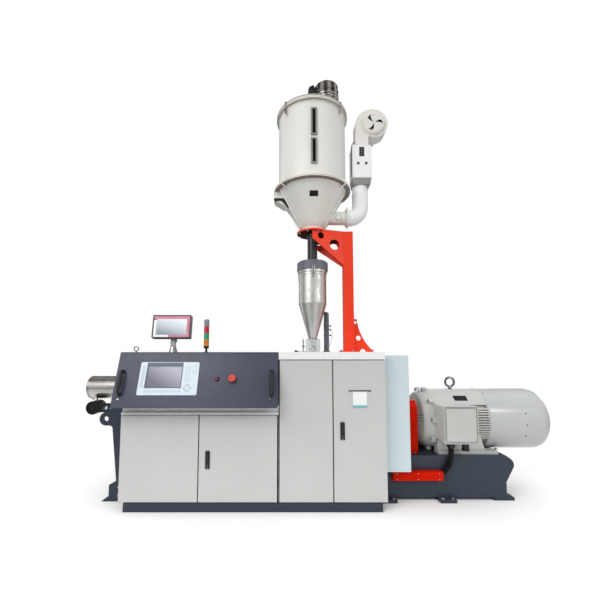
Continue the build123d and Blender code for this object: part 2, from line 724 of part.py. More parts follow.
def feed_housing():
    """Cast block between barrel and gearbox, with the neck that carries the feed hopper."""
    half = FEED_HOUSING_HALF
    unit = block(-half, GEARBOX_LEFT_X, -half, half, SCREW_HEIGHT - half, SCREW_HEIGHT + half)
    unit = chamfer(unit.edges().filter_by(Axis.X), GEARBOX_CHAMFER)
    unit += upright(FEED_NECK_R, SCREW_HEIGHT + half - 1, tall_top)
    unit -= along_x(BARREL_BORE_R, -half - 1, half, 0, SCREW_HEIGHT)
    return unit - upright(FEED_OUTLET_R, SCREW_HEIGHT, tall_top + 1)


def barrel_cover():
    """Stainless tube round the barrel, closed by a ring round the outlet flange."""
    inner = BARREL_COVER_R - BARREL_COVER_WALL
    left = outlet_x + END_RING
    tube = along_x(BARREL_COVER_R, left, cover_right_x, 0, SCREW_HEIGHT)
    tube -= along_x(inner, left + END_RING, cover_right_x + 1, 0, SCREW_HEIGHT)
    return tube - along_x(OUTLET_FLANGE_R + SEAT, left - 1, left + END_RING + 1, 0, SCREW_HEIGHT)


fan_x = outlet_x + FAN_FROM_OUTLET
fan_z = SCREW_HEIGHT - FAN_DROP


def barrel_fan():
    """Round blower hung under the barrel cover by a thin rod, with a recessed face and hub."""
    housing = along_y(FAN_R, FAN_FRONT_Y, FAN_FRONT_Y + FAN_LENGTH, fan_x, fan_z)
    recess = along_y(FAN_R - FAN_RIM, FAN_FRONT_Y - 1, FAN_FRONT_Y + FAN_RECESS, fan_x, fan_z)
    hub = along_y(FAN_HUB_R, FAN_FRONT_Y, FAN_FRONT_Y + FAN_RECESS, fan_x, fan_z)
    hanger_y = FAN_FRONT_Y + FAN_LENGTH / 2
    hanger = upright(HANGER_R, fan_z + FAN_R - HANGER_R, SCREW_HEIGHT, fan_x + HANGER_R, hanger_y)
    hanger -= along_x(BARREL_COVER_R, fan_x - FAN_R, fan_x + FAN_R, 0, SCREW_HEIGHT)
    return housing - recess + hub + hanger


def fan_bracket():
    """Flat arm from the cabinet's end wall to the fan, with a window cut out of it."""
    y0 = FAN_FRONT_Y + FAN_RIM
    y1 = y0 + BRACKET_THICKNESS
    arm = block(fan_x, low_left_x, y0, y1, fan_z - BRACKET_HEIGHT / 2, fan_z + BRACKET_HEIGHT / 2)
    arm -= along_y(FAN_R + SEAT, y0 - 1, y1 + 1, fan_x, fan_z)
    window_left = fan_x + FAN_R + BRACKET_WINDOW / 2
    for i in range(2):
        x = window_left + i * BRACKET_WINDOW * 1.8
        arm -= block(x, x + BRACKET_WINDOW * 1.4, y0 - 1, y1 + 1, fan_z - BRACKET_WINDOW / 2,
                     fan_z + BRACKET_WINDOW / 2)
    return arm


def gearbox():
    """Split cast housing on the beams, with its joint flange at screw height."""
    half = GEARBOX_HALF_DEPTH
    top = tall_top - GEARBOX_HEADROOM
    body = block(GEARBOX_LEFT_X, drive_cover_left_x, -half, half, rail_top, top)
    body = chamfer(body.edges().filter_by(Axis.X).sort_by(Axis.Z)[-2:], GEARBOX_CHAMFER * 2)
    joint_z = SCREW_HEIGHT - GEARBOX_FLANGE_HEIGHT / 2
    for z in (rail_top, joint_z):
        body += block(GEARBOX_LEFT_X, drive_cover_left_x, -half - GEARBOX_FLANGE, half + GEARBOX_FLANGE, z,
                      z + GEARBOX_FLANGE_HEIGHT)
    return body


def drive_cover():
    """Closed sheet housing over the drive train between the tall cabinet and the coupling."""
    half = DRIVE_COVER_HALF_DEPTH
    top = tall_top - DRIVE_COVER_DROP
    body = block(drive_cover_left_x, drive_cover_right_x, -half, half, drive_cover_bottom, top)
    return fillet(body.edges().filter_by(Axis.Z).sort_by(Axis.X)[-2:], DRIVE_COVER_ROUND)


def coupling_guard():
    """Closed hood over the coupling, rounded along its top."""
    top = motor_z + GUARD_OVER_MOTOR_AXIS
    body = block(drive_cover_right_x, flange_x, -GUARD_HALF_DEPTH, GUARD_HALF_DEPTH, pedestal_top, top)
    return chamfer(body.edges().filter_by(Axis.X).sort_by(Axis.Z)[-2:], GUARD_ROUND)


# Motor

def shield_profile():
    """Half outline of the end shield: bearing nose, ribbed slope, step and rounded shoulder."""
    def at(share, r):
        return flange_x + SHIELD_LENGTH * share, r

    return [at(0, 0), at(0, SHIELD_NOSE_R * 0.75), at(0.16, SHIELD_NOSE_R * 0.96), at(0.42, MOTOR_R * 0.8),
            at(0.4, MOTOR_R * 0.84), at(0.48, MOTOR_R * 0.89), at(0.65, MOTOR_R * 0.94), at(1, MOTOR_R), at(1, 0)]


def motor_body():
    """Cast frame with cooling fins on both sides, a smooth crown, a ribbed end shield and webbed feet."""
    core_r = MOTOR_R - FIN_DEPTH
    body = along_x(core_r, shield_end_x, body_end_x, 0, motor_z)
    body += Pos(0, 0, motor_z) * revolve(outline(*shield_profile()), Axis.X)
    body += along_x(MOTOR_R, shield_end_x, shield_end_x + SHIELD_RIM, 0, motor_z)
    body += along_x(MOTOR_R, body_end_x - BACK_RIM, body_end_x, 0, motor_z)
    crown_z = motor_z + MOTOR_R * sin(radians(CROWN_ANGLE))
    body += along_x(MOTOR_R, shield_end_x, body_end_x, 0, motor_z) & block(
        shield_end_x, body_end_x, -MOTOR_R, MOTOR_R, crown_z, motor_z + MOTOR_R)
    span = MOTOR_BODY_LENGTH - SHIELD_RIM
    fin_height = FIN_DEPTH + FIN_ROOT - 1
    fin = Pos(shield_end_x + SHIELD_RIM + span / 2, core_r - FIN_ROOT + fin_height / 2, 0) * Box(
        span, fin_height, FIN_THICKNESS)
    for i in range(int((CROWN_ANGLE + FIN_LOW_ANGLE) / FIN_PITCH_DEG)):
        angle = i * FIN_PITCH_DEG - FIN_LOW_ANGLE
        for turn in (angle, 180 - angle):
            body += Pos(0, 0, motor_z) * Rot(turn, 0, 0) * fin
    (x0, r0), (x1, r1) = shield_profile()[2:4]
    root_x = x1 + FIN_ROOT
    rib_face = outline((root_x, r0 - FIN_ROOT), (x0, r0 - FIN_ROOT), (x0 - SHIELD_RIB_HEIGHT, r0),
                       (x1 - SHIELD_RIB_HEIGHT, r1 + SHIELD_RIB_HEIGHT / 2), (root_x, r1 + SHIELD_RIB_HEIGHT / 2))
    rib = plate_xz(rib_face, -SHIELD_RIB_THICKNESS / 2, SHIELD_RIB_THICKNESS / 2)
    for i in range(SHIELD_RIB_COUNT):
        body += Pos(0, 0, motor_z) * Rot(360 * (i + 0.5) / SHIELD_RIB_COUNT, 0, 0) * rib
    under_shroud = along_x(MOTOR_R + NOTCH_CLEARANCE, body_end_x, body_end_x + MOTOR_FOOT_LENGTH, 0, motor_z)
    return body + motor_feet() - under_shroud


def motor_feet():
    """Long foot pads, each tied to the frame by an upright web with a sloping end and two cheeks."""
    x0 = shield_end_x + MOTOR_FOOT_FROM_SHIELD
    x1 = x0 + MOTOR_FOOT_LENGTH
    web_right = x1 - MOTOR_FOOT_WIDTH
    web_head = web_right - MOTOR_FOOT_WIDTH * 0.5
    low = pedestal_top + MOTOR_FOOT_THICKNESS - 1
    top = low + MOTOR_WEB_HEIGHT
    inner = MOTOR_FOOT_HALF_SPREAD - MOTOR_FOOT_WIDTH
    web_outer = MOTOR_FOOT_HALF_SPREAD - MOTOR_WEB_THICKNESS
    web_inner = web_outer - MOTOR_WEB_THICKNESS
    web = outline((x0, low), (web_right, low), (web_head, top), (x0, top))
    feet = Part()
    for y0, y1 in mirrored_pair(inner, MOTOR_FOOT_HALF_SPREAD):
        feet += block(x0, x1, y0, y1, pedestal_top, low + 1)
    for y0, y1 in mirrored_pair(web_inner, web_outer):
        feet += plate_xz(web, y0, y1)
    for y0, y1 in mirrored_pair(inner, web_inner + 1):
        for x in (x0, web_head - MOTOR_WEB_THICKNESS):
            feet += block(x, x + MOTOR_WEB_THICKNESS, y0, y1, low, top)
    return feet


def motor_shroud():
    """Smooth fan shroud with a rounded rear edge and a recessed, spoked air intake."""
    c = SHROUD_ROUND
    profile = [(0, body_end_x), (MOTOR_R, body_end_x), (MOTOR_R, shroud_end_x - c),
               (MOTOR_R - c * 0.134, shroud_end_x - c * 0.5), (MOTOR_R - c * 0.5, shroud_end_x - c * 0.134),
               (MOTOR_R - c, shroud_end_x), (0, shroud_end_x)]
    face = outline(*[(x, r) for r, x in profile])
    body = Pos(0, 0, motor_z) * revolve(face, Axis.X)
    floor_x = shroud_end_x - SHROUD_GRILLE_DEPTH
    recess = along_x(SHROUD_GRILLE_R, floor_x, shroud_end_x + 1, 0, motor_z)
    recess -= along_x(SHROUD_HUB_R, floor_x, shroud_end_x + 1, 0, motor_z)
    for i in range(SHROUD_SPOKES // 2):
        bar = block(floor_x, shroud_end_x + 1, -SHROUD_GRILLE_R, SHROUD_GRILLE_R, -SHROUD_SPOKE_WIDTH / 2,
                    SHROUD_SPOKE_WIDTH / 2)
        recess -= Pos(0, 0, motor_z) * Rot(360 * i / SHROUD_SPOKES, 0, 0) * bar
    return body - recess


def motor_terminal_box():
    """Cast box with a wide lid, a raised panel on it, and two glands underneath."""
    x0, x1 = terminal_left_x, terminal_left_x + TERMINAL_WIDTH
    z0, z1 = terminal_bottom, terminal_bottom + TERMINAL_HEIGHT
    lid_back = terminal_front_y + TERMINAL_PANEL + TERMINAL_LID
    lid = block(x0, x1, terminal_front_y + TERMINAL_PANEL, lid_back, z0, z1)
    lid = chamfer(lid.edges().filter_by(Axis.Y), TERMINAL_INSET)
    p = TERMINAL_PANEL_INSET
    panel = block(x0 + p, x1 - p, terminal_front_y, terminal_front_y + TERMINAL_PANEL, z0 + p, z1 - p)
    panel = chamfer(panel.edges().filter_by(Axis.Y), TERMINAL_INSET)
    i = TERMINAL_INSET
    base = block(x0 + i, x1 - i, lid_back, -MOTOR_R * 0.7, z0 + i, z1 - i)
    box = lid + panel + base
    box -= along_x(MOTOR_R + NOTCH_CLEARANCE, x0 - 1, x1 + 1, 0, motor_z)
    box += block(x0 + i, x1 - i, -MOTOR_R - NOTCH_CLEARANCE, -MOTOR_R, motor_z - TERMINAL_SEAT,
                 motor_z + TERMINAL_SEAT)
    gland = upright(GLAND_R, z0 - GLAND_LENGTH, z0 + i + 1, conduit_x, duct_y)
    spare_x = x1 - CONDUIT_R * 2
    spare = upright(GLAND_R * 0.8, z0 - GLAND_LENGTH, z0 + i + 1, spare_x, duct_y)
    return box + gland + spare


def eye_bolt(x, y, z, scale):
    """Ring on a collar, standing on what it lifts."""
    r = EYE_R * scale
    rod = EYE_ROD * scale
    ring = revolve(Pos(r, 0) * RegularPolygon(rod, 8), Axis.Y)
    collar = cone_z(rod * 1.9, rod, z, z + rod * 1.6, x, y)
    return Pos(x, y, z + r + rod * 2) * ring + collar


def lifting_eyes():
    return (eye_bolt(flange_x + EYE_FROM_FLANGE, 0, motor_z + MOTOR_R, 1.0),
            eye_bolt(console_left_x + SMALL_EYE_FROM_LEFT, MONITOR_Y, console_top, SMALL_EYE_SCALE))


# Console

def slope_y(z):
    """Y of the console's front face at a height."""
    return console_foot_y + (z - low_top) / CONSOLE_HEIGHT * (console_head_y - console_foot_y)


def on_face(from_left, lift):
    """Place on the console's front face: X along it, Z up it, -Y straight out of it."""
    z = low_top + lift
    return Pos(console_left_x + from_left, slope_y(z), z) * Rot(-console_lean, 0, 0)


def prism_yz(points, x0, x1):
    """Bar along X with an outline in Y and Z."""
    return Pos(x0, 0, 0) * extrude(Plane.YZ * outline(*points), x1 - x0)


skin = CONSOLE_SHEET / cos(radians(console_lean))


def console_front():
    """Sloping front sheet."""
    head_z = console_top - CONSOLE_SHEET
    section = [(console_foot_y, low_top), (slope_y(head_z), head_z), (slope_y(head_z) + skin, head_z),
               (console_foot_y + skin, low_top)]
    return prism_yz(section, console_left_x + CONSOLE_SHEET, console_right_x - CONSOLE_SHEET)


def console_end_plates():
    """End sheets, with a round pass for the barrel in the left and for the barrel in the right."""
    head_z = console_top - CONSOLE_SHEET
    side = [(console_foot_y, low_top), (slope_y(head_z), head_z), (back_y, head_z), (back_y, low_top)]
    plates = []
    for x0 in (console_left_x, console_right_x - CONSOLE_SHEET):
        x1 = x0 + CONSOLE_SHEET
        barrel_pass = along_x(BARREL_COVER_R + BARREL_PASS_CLEARANCE, x0 - 1, x1 + 1, 0, SCREW_HEIGHT)
        plates.append(prism_yz(side, x0, x1) - barrel_pass)
    return plates


def console_top_sheet():
    return block(console_left_x, console_right_x, slope_y(console_top), back_y, console_top - CONSOLE_SHEET,
                 console_top)


def console_back():
    t = CONSOLE_SHEET
    return block(console_left_x + t, console_right_x - t, back_y - t, back_y, low_top, console_top - t)


def operator_panel():
    """Flat operator panel with its screen set a little deeper."""
    plate = Box(PANEL_WIDTH, PANEL_THICKNESS, PANEL_HEIGHT)
    plate = chamfer(plate.edges().filter_by(Axis.Y), PANEL_THICKNESS)
    screen_x = -PANEL_WIDTH / 2 + SCREEN_FROM_LEFT + SCREEN_WIDTH / 2
    screen_z = -PANEL_HEIGHT / 2 + SCREEN_LIFT + SCREEN_HEIGHT / 2
    screen = Box(SCREEN_WIDTH, 2 * SCREEN_RECESS, SCREEN_HEIGHT)
    plate -= Pos(screen_x, -PANEL_THICKNESS / 2, screen_z) * screen
    lift = PANEL_LIFT + PANEL_HEIGHT / 2 * cos(radians(console_lean))
    return on_face(PANEL_FROM_LEFT + PANEL_WIDTH / 2, lift) * Pos(0, -PANEL_THICKNESS / 2, 0) * plate


def panel_buttons():
    """Signal lamp and mushroom stop button."""
    def knob(r, start, length):
        return Pos(0, -start - length / 2, 0) * Rot(90, 0, 0) * Cylinder(r, length)

    lamp = on_face(LAMP_FROM_LEFT, BUTTON_LIFT) * knob(LAMP_R, 0, STOP_COLLAR)
    stop = knob(STOP_COLLAR_R, 0, STOP_COLLAR) + knob(STOP_HEAD_R, STOP_COLLAR, STOP_HEAD)
    return lamp, on_face(STOP_FROM_LEFT, BUTTON_LIFT) * stop


def console_handles():
    """Two bent bar handles."""
    half = BAR_SPAN / 2
    length = console_right_x - console_left_x
    path = FilletPolyline((0, 0, -half), (0, -BAR_REACH, -half), (0, -BAR_REACH, half), (0, 0, half),
                          radius=BAR_BEND)
    bar = sweep(Plane(origin=(0, 0, -half), z_dir=(0, -1, 0)) * RegularPolygon(BAR_R, 8), path)
    return [on_face(inset, BAR_LIFT) * bar for inset in (LEFT_BAR_INSET, length - RIGHT_BAR_INSET)]


def monitor_post():
    z = console_top + POST_BASE_HEIGHT
    base = cone_z(POST_BASE_R, POST_R, console_top, z, monitor_x, MONITOR_Y)
    return base + upright(POST_R, z, console_top + POST_HEIGHT, monitor_x, MONITOR_Y)


yoke_z = console_top + POST_HEIGHT + SEAT
tilt_y = MONITOR_Y + YOKE_SETBACK
tilt_z = yoke_z + TILT_PIN_LIFT


def monitor_yoke():
    """Swivelling head on the post that carries the tilt pin."""
    head = upright(POST_R, yoke_z, yoke_z + YOKE_HEAD_HEIGHT, monitor_x, MONITOR_Y)
    half = YOKE_THICKNESS / 2
    x0, x1 = monitor_x - YOKE_HALF_WIDTH, monitor_x + YOKE_HALF_WIDTH
    head += block(x0, x1, tilt_y - half, tilt_y + half, yoke_z, tilt_z + TILT_PIN_R)
    reach = YOKE_HALF_WIDTH + EAR_WIDTH + PIVOT_R * 1.5
    return head + along_x(TILT_PIN_R, monitor_x - reach, monitor_x + reach, tilt_y, tilt_z)


def monitor():
    """Flat screen in a shell, with two ears on its back for the tilt pin."""
    z0 = console_top + MONITOR_LIFT
    z1 = z0 + MONITOR_HEIGHT
    x0, x1 = monitor_x - MONITOR_WIDTH / 2, monitor_x + MONITOR_WIDTH / 2
    y0 = MONITOR_Y - MONITOR_BACK_DEPTH - MONITOR_DEPTH
    y1 = MONITOR_Y - MONITOR_BACK_DEPTH
    shell = block(x0, x1, y0, y1, z0, z1)
    shell = chamfer(shell.edges().filter_by(Axis.Y), MONITOR_FRAME * 0.6)
    f = MONITOR_FRAME
    shell -= block(x0 + f, x1 - f, y0 - 1, y0 + MONITOR_GLASS_RECESS, z0 + f, z1 - f)
    b = MONITOR_BACK_INSET
    shell += block(x0 + b, x1 - b, y1, MONITOR_Y, z0 + b * 0.5, z1 - b)
    gap = YOKE_HALF_WIDTH + PIVOT_R
    for x in (monitor_x - gap - EAR_WIDTH, monitor_x + gap):
        ear = block(x, x + EAR_WIDTH, MONITOR_Y, tilt_y + 2 * TILT_PIN_R, tilt_z - 2 * TILT_PIN_R,
                    tilt_z + 2 * TILT_PIN_R)
        shell += ear - along_x(TILT_PIN_R + PIVOT_CLEARANCE, x - 1, x + EAR_WIDTH + 1, tilt_y, tilt_z)
    return Pos(0, tilt_y, tilt_z) * Rot(-MONITOR_REST_TILT, 0, 0) * Pos(0, -tilt_y, -tilt_z) * shell


def stack_light():
    """Pole, base, three lenses parted by grooves, and a sounder cap."""
    x = console_left_x + STACK_FROM_LEFT
    z = console_top
    light = upright(STACK_POLE_R, z, z + STACK_POLE, x, MONITOR_Y)
    z += STACK_POLE
    for height in (STACK_BASE, STACK_LENS, STACK_LENS, STACK_LENS, STACK_CAP):
        light += upright(STACK_R - STACK_GROOVE, z - STACK_GROOVE if z > console_top + STACK_POLE else z,
                         z + height, x, MONITOR_Y)
        light += upright(STACK_R, z, z + height - STACK_GROOVE, x, MONITOR_Y)
        z += height
    return light


# Feed hopper over the throat

def feeder_base():
    """Clear chute block with a slide gate and its stop rod."""
    z0 = tall_top
    body = block(-THROAT_HALF, THROAT_HALF, -THROAT_HALF, THROAT_HALF, z0, feed_base_top)
    body -= upright(FEED_OUTLET_R, z0 - 1, feed_base_top + 1)
    left = -THROAT_HALF - GATE_REACH
    body += block(left, -THROAT_HALF, -GATE_HALF_WIDTH, GATE_HALF_WIDTH, z0, z0 + GATE_THICKNESS)
    rod_x = -THROAT_HALF - GATE_REACH * 0.35
    body += upright(GATE_ROD_R, z0 + GATE_THICKNESS, z0 + GATE_ROD_HEIGHT, rod_x)
    return body + upright(GATE_KNOB_R, z0 + GATE_ROD_HEIGHT * 0.45, z0 + GATE_ROD_HEIGHT * 0.65, rod_x)


def feeder_hopper():
    """Stainless cylinder on a long cone, with a rim for the lid."""
    cone = cone_z(FEED_OUTLET_R + FEED_WALL, FEED_R, feed_base_top, feed_cone_top)
    body = upright(FEED_R, feed_cone_top, feed_body_top)
    body += upright(FEED_R + FEED_RIM, feed_body_top - FEED_RIM_HEIGHT, feed_body_top)
    shape = cone + body
    shape -= cone_z(FEED_OUTLET_R, FEED_R - FEED_WALL, feed_base_top, feed_cone_top)
    return shape - upright(FEED_R - FEED_WALL, feed_cone_top, feed_body_top + 1)


def feeder_lid():
    lid = upright(FEED_LID_R, feed_body_top, feed_lid_top)
    return chamfer(lid.edges().filter_by(GeomType.CIRCLE).sort_by(Axis.Z)[-1], FEED_LID_CHAMFER)


def feeder_side_tube():
    """Suction tube beside the feed hopper, cut off at a slant."""
    tube = upright(SIDE_TUBE_R, tall_top, tall_top + SIDE_TUBE_HEIGHT, SIDE_TUBE_X, SIDE_TUBE_Y)
    top = Pos(SIDE_TUBE_X, SIDE_TUBE_Y, tall_top + SIDE_TUBE_HEIGHT) * Rot(0, SIDE_TUBE_CUT_DEG, 0)
    return tube - top * Pos(0, 0, SIDE_TUBE_R * 2) * Box(SIDE_TUBE_R * 5, SIDE_TUBE_R * 5, SIDE_TUBE_R * 4)


def feeder_hose():
    """Drop hose from the dryer outlet to the feed hopper's lid, with a cuff at each end."""
    top = feed_lid_top + HOSE_HEIGHT
    hose = upright(HOSE_R, feed_lid_top, top)
    for z in (feed_lid_top, top - CUFF_HEIGHT):
        hose += upright(HOSE_R + CUFF_THICKNESS, z, z + CUFF_HEIGHT)
    return hose


# Support of the dryer

def hopper_support():
    """Column, V-shaped arm of two pierced plates, foot gusset and the flange that carries the dryer."""
    root_x = COLUMN_FROM_THROAT
    right_x = root_x + COLUMN_WIDTH
    weldment = block(root_x, right_x, -COLUMN_HALF_DEPTH, COLUMN_HALF_DEPTH, tall_top, arm_top)
    length = root_x + ARM_NOSE_PAST_THROAT
    arm = outline((-ARM_NOSE_PAST_THROAT, arm_top - ARM_NOSE_HEIGHT), (-ARM_NOSE_PAST_THROAT, arm_top),
                  (root_x + 1, arm_top), (root_x + 1, arm_top - ARM_ROOT_HEIGHT))
    plate = plate_xz(arm, -ARM_PLATE / 2, ARM_PLATE / 2)
    holes = ((SMALL_HOLE_X, SMALL_HOLE_DROP, SMALL_HOLE_R), (LARGE_HOLE_X, LARGE_HOLE_DROP, LARGE_HOLE_R))
    for x, drop, r in holes:
        plate -= along_y(r, -ARM_PLATE, ARM_PLATE, x, arm_top - drop)
    turn = degrees(atan2(ARM_SPREAD_HALF - COLUMN_HALF_DEPTH, length))
    for side in (-1, 1):
        hinge = Pos(root_x, side * (COLUMN_HALF_DEPTH - ARM_PLATE / 2), 0)
        weldment += hinge * Rot(0, 0, -side * turn) * Pos(-root_x, 0, 0) * plate
    weldment += upright(FLANGE_R, arm_top - FLANGE_THICKNESS, arm_top)
    weldment += gusset(right_x)
    return weldment - upright(HOSE_R, arm_top - FLANGE_THICKNESS - 1, arm_top + 1)


def gusset(x):
    """Foot gusset with a hollow sloping edge and three holes."""
    head = (x + GUSSET_HEAD, tall_top + GUSSET_HEIGHT)
    toe = (x + GUSSET_REACH, tall_top)
    middle = ((head[0] + toe[0]) / 2 - GUSSET_HOLLOW * 0.55, (head[1] + toe[1]) / 2 - GUSSET_HOLLOW * 0.35)
    edge = (Polyline(toe, (x - 1, tall_top), (x - 1, head[1]), head), ThreePointArc(head, middle, toe))
    plate = plate_xz(make_face(Wire(edge[0].edges() + edge[1].edges())), -ARM_PLATE / 2, ARM_PLATE / 2)
    holes = ((GUSSET_HEAD * 0.55, GUSSET_HEIGHT - GUSSET_HEAD, GUSSET_TOP_HOLE_R),
             (GUSSET_HEAD * 1.4, GUSSET_HEIGHT * 0.42, GUSSET_MID_HOLE_R),
             (GUSSET_REACH * 0.45, 0, GUSSET_FOOT_HOLE_R))
    for dx, dz, r in holes:
        plate -= along_y(r, -ARM_PLATE, ARM_PLATE, x + dx, tall_top + dz)
    return plate


# Dryer

def dryer_cone():
    """Outlet neck and cone, closed by the ring that carries the body."""
    shape = upright(DRYER_OUTLET_R, arm_top, cone_bottom)
    shape += cone_z(DRYER_OUTLET_R, DRYER_R, cone_bottom, cone_top - DRYER_RING_THICKNESS)
    shape += upright(DRYER_RING_R, cone_top - DRYER_RING_THICKNESS, cone_top)
    shape -= cone_z(DRYER_OUTLET_R - DRYER_WALL, DRYER_R - DRYER_WALL, cone_bottom, cone_top)
    return shape - upright(HOSE_R, arm_top - 1, cone_bottom + 1)


def dryer_body():
    """Double-walled shell with a ring at its foot and a rim for the lid."""
    shape = upright(DRYER_R, cone_top, dryer_top)
    shape += upright(DRYER_RING_R, cone_top, cone_top + DRYER_RING_THICKNESS)
    shape += upright(DRYER_R + DRYER_RIM, dryer_top - DRYER_RIM_HEIGHT, dryer_top)
    return shape - upright(DRYER_R - DRYER_WALL, cone_top - 1, dryer_top + 1)


def dryer_lid():
    return upright(DRYER_R + DRYER_RIM, dryer_top, lid_top)


def sight_glasses():
    """Two upright windows that follow the round wall."""
    half = GLASS_WIDTH / 2
    glasses = []
    for lift, height in ((LOW_GLASS_LIFT, LOW_GLASS_HEIGHT), (HIGH_GLASS_LIFT, HIGH_GLASS_HEIGHT)):
        z = cone_top + lift
        bar = block(-half, half, -DRYER_R * 2, 0, z, z + height)
        bar &= upright(DRYER_R + GLASS_PROUD, z, z + height)
        glasses.append(bar - upright(DRYER_R, z - 1, z + height + 1))
    return glasses


def clean_out_port():
    """Short chute on the cone with a sloping underside."""
    z1 = cone_top - DRYER_RING_THICKNESS - SEAT
    z0 = z1 - PORT_HEIGHT
    slope = (DRYER_R - DRYER_OUTLET_R) / (DRYER_CONE_HEIGHT - DRYER_RING_THICKNESS)
    wall = DRYER_OUTLET_R + slope * (z0 - cone_bottom)
    left = -wall - PORT_REACH
    foot = z0 - PORT_HEIGHT * 0.7
    right = -wall + PORT_REACH
    face = outline((left, z0), (left, z1), (right, z1), (right, foot), (-wall, foot))
    chute = plate_xz(face, -PORT_WIDTH / 2, PORT_WIDTH / 2)
    return chute - cone_z(DRYER_OUTLET_R, DRYER_R, cone_bottom, cone_top - DRYER_RING_THICKNESS)


def vacuum_loader():
    """Stainless can with a clamp band and a stepped top, standing on the lid."""
    x = LOADER_FROM_AXIS
    top = lid_top + LOADER_HEIGHT
    body = upright(LOADER_R, lid_top, top - LOADER_BAND, x)
    body += upright(LOADER_R - LOADER_BAND, top - LOADER_BAND, top, x)
    band = lid_top + LOADER_BAND_LIFT
    return body + upright(LOADER_R + LOADER_BAND, band, band + LOADER_BAND_HEIGHT, x)


def loader_cap():
    """Round black motor cap on the side of the loader."""
    z = lid_top + LOADER_HEIGHT - LOADER_CAP_DROP
    left = LOADER_FROM_AXIS - LOADER_R - LOADER_CAP_REACH
    cap = along_x(LOADER_CAP_R, left, LOADER_FROM_AXIS, 0, z)
    cap = chamfer(cap.edges().filter_by(GeomType.CIRCLE).sort_by(Axis.X)[0], LOADER_CAP_R * 0.3)
    return cap - upright(LOADER_R + LOADER_BAND, lid_top, lid_top + LOADER_HEIGHT, LOADER_FROM_AXIS)


# Hot air

def hot_air_inlet():
    """Stub welded to the cone, with a clamp ring where the lagged pipe begins."""
    stub = along_x(AIR_PIPE_R, 0, AIR_CLAMP_X, 0, air_z)
    stub -= cone_z(DRYER_OUTLET_R, DRYER_R, cone_bottom, cone_top - DRYER_RING_THICKNESS)
    stub -= upright(DRYER_OUTLET_R, arm_top, cone_bottom)
    return stub + along_x(RISER_R + AIR_CLAMP_PROUD, AIR_CLAMP_X - AIR_CLAMP_WIDTH, AIR_CLAMP_X, 0, air_z)


def hot_air_pipe():
    """Lagged elbow and riser up to the heater."""
    start = (AIR_CLAMP_X, 0, air_z)
    path = FilletPolyline(start, (RISER_FROM_AXIS, 0, air_z), (RISER_FROM_AXIS, 0, box_bottom), radius=RISER_BEND_R)
    return sweep(Plane(origin=start, z_dir=(1, 0, 0)) * Circle(RISER_R), path)


def heater_box():
    box = block(box_left_x, box_left_x + BOX_WIDTH, BOX_FRONT_Y, BOX_FRONT_Y + BOX_DEPTH, box_bottom, box_top)
    return chamfer(box.edges().filter_by(Axis.Z), BOX_ROUND)


def scroll_outline():
    """Spiral that widens from the tongue to the left side and runs into an outlet pointing down."""
    left = scroll_x - SCROLL_R - SCROLL_GROWTH
    right = left + SCROLL_OUTLET_WIDTH
    tongue = -acos((right - scroll_x) / SCROLL_R)

    def at(share):
        r = SCROLL_R + SCROLL_GROWTH * share
        angle = tongue + share * (pi - tongue)
        return scroll_x + r * cos(angle), scroll_z + r * sin(angle)

    spiral = Spline(*[at(i / SCROLL_STATIONS) for i in range(SCROLL_STATIONS + 1)])
    tail = Polyline(at(1), (left, box_top), (right, box_top), at(0))
    return make_face(Wire(spiral.edges() + tail.edges()))


def blower():
    """Scroll housing with a tangential outlet down into the heater, and its motor behind."""
    back = SCROLL_FRONT_Y + SCROLL_DEPTH
    housing = plate_xz(scroll_outline(), SCROLL_FRONT_Y, back)
    housing += along_y(BLOWER_MOTOR_R, back, back + BLOWER_MOTOR_LENGTH, scroll_x, scroll_z)
    return housing - along_y(INLET_EYE_R, SCROLL_FRONT_Y - 1, back - INLET_SKIN, scroll_x, scroll_z)


def blade_slot():
    """One curved slot of the inlet cap: wide outside, pointed at the hub, swept like a fan blade."""
    tip = INLET_R * 0.74

    def at(share, angle):
        return tip * share * cos(radians(angle)), tip * share * sin(radians(angle))

    hub, lead, trail = at(0.13, 20), at(1, 15), at(1, -9)
    front = ThreePointArc(hub, at(0.65, 26), lead)
    outer = ThreePointArc(lead, at(1.04, 3), trail)
    back = ThreePointArc(trail, at(0.68, 5), hub)
    return make_face(Wire([front.edge(), outer.edge(), back.edge()]))


def blower_inlet():
    """Domed cap over the blower's eye, pierced by three blade-shaped slots."""
    front = SCROLL_FRONT_Y - INLET_DEPTH
    cap = along_y(INLET_R, front, SCROLL_FRONT_Y, scroll_x, scroll_z)
    cap = chamfer(cap.edges().filter_by(GeomType.CIRCLE).sort_by(Axis.Y)[0], INLET_DEPTH * 0.4)
    cap -= along_y(INLET_R - INLET_DEPTH * 0.45, front + INLET_SKIN, SCROLL_FRONT_Y + 1, scroll_x, scroll_z)
    slot = plate_xz(blade_slot(), -INLET_DEPTH, INLET_DEPTH)
    for i in range(BLADE_COUNT):
        turned = Pos(scroll_x, front, scroll_z) * Rot(0, 360 * i / BLADE_COUNT, 0) * slot
        cap -= turned
    return cap


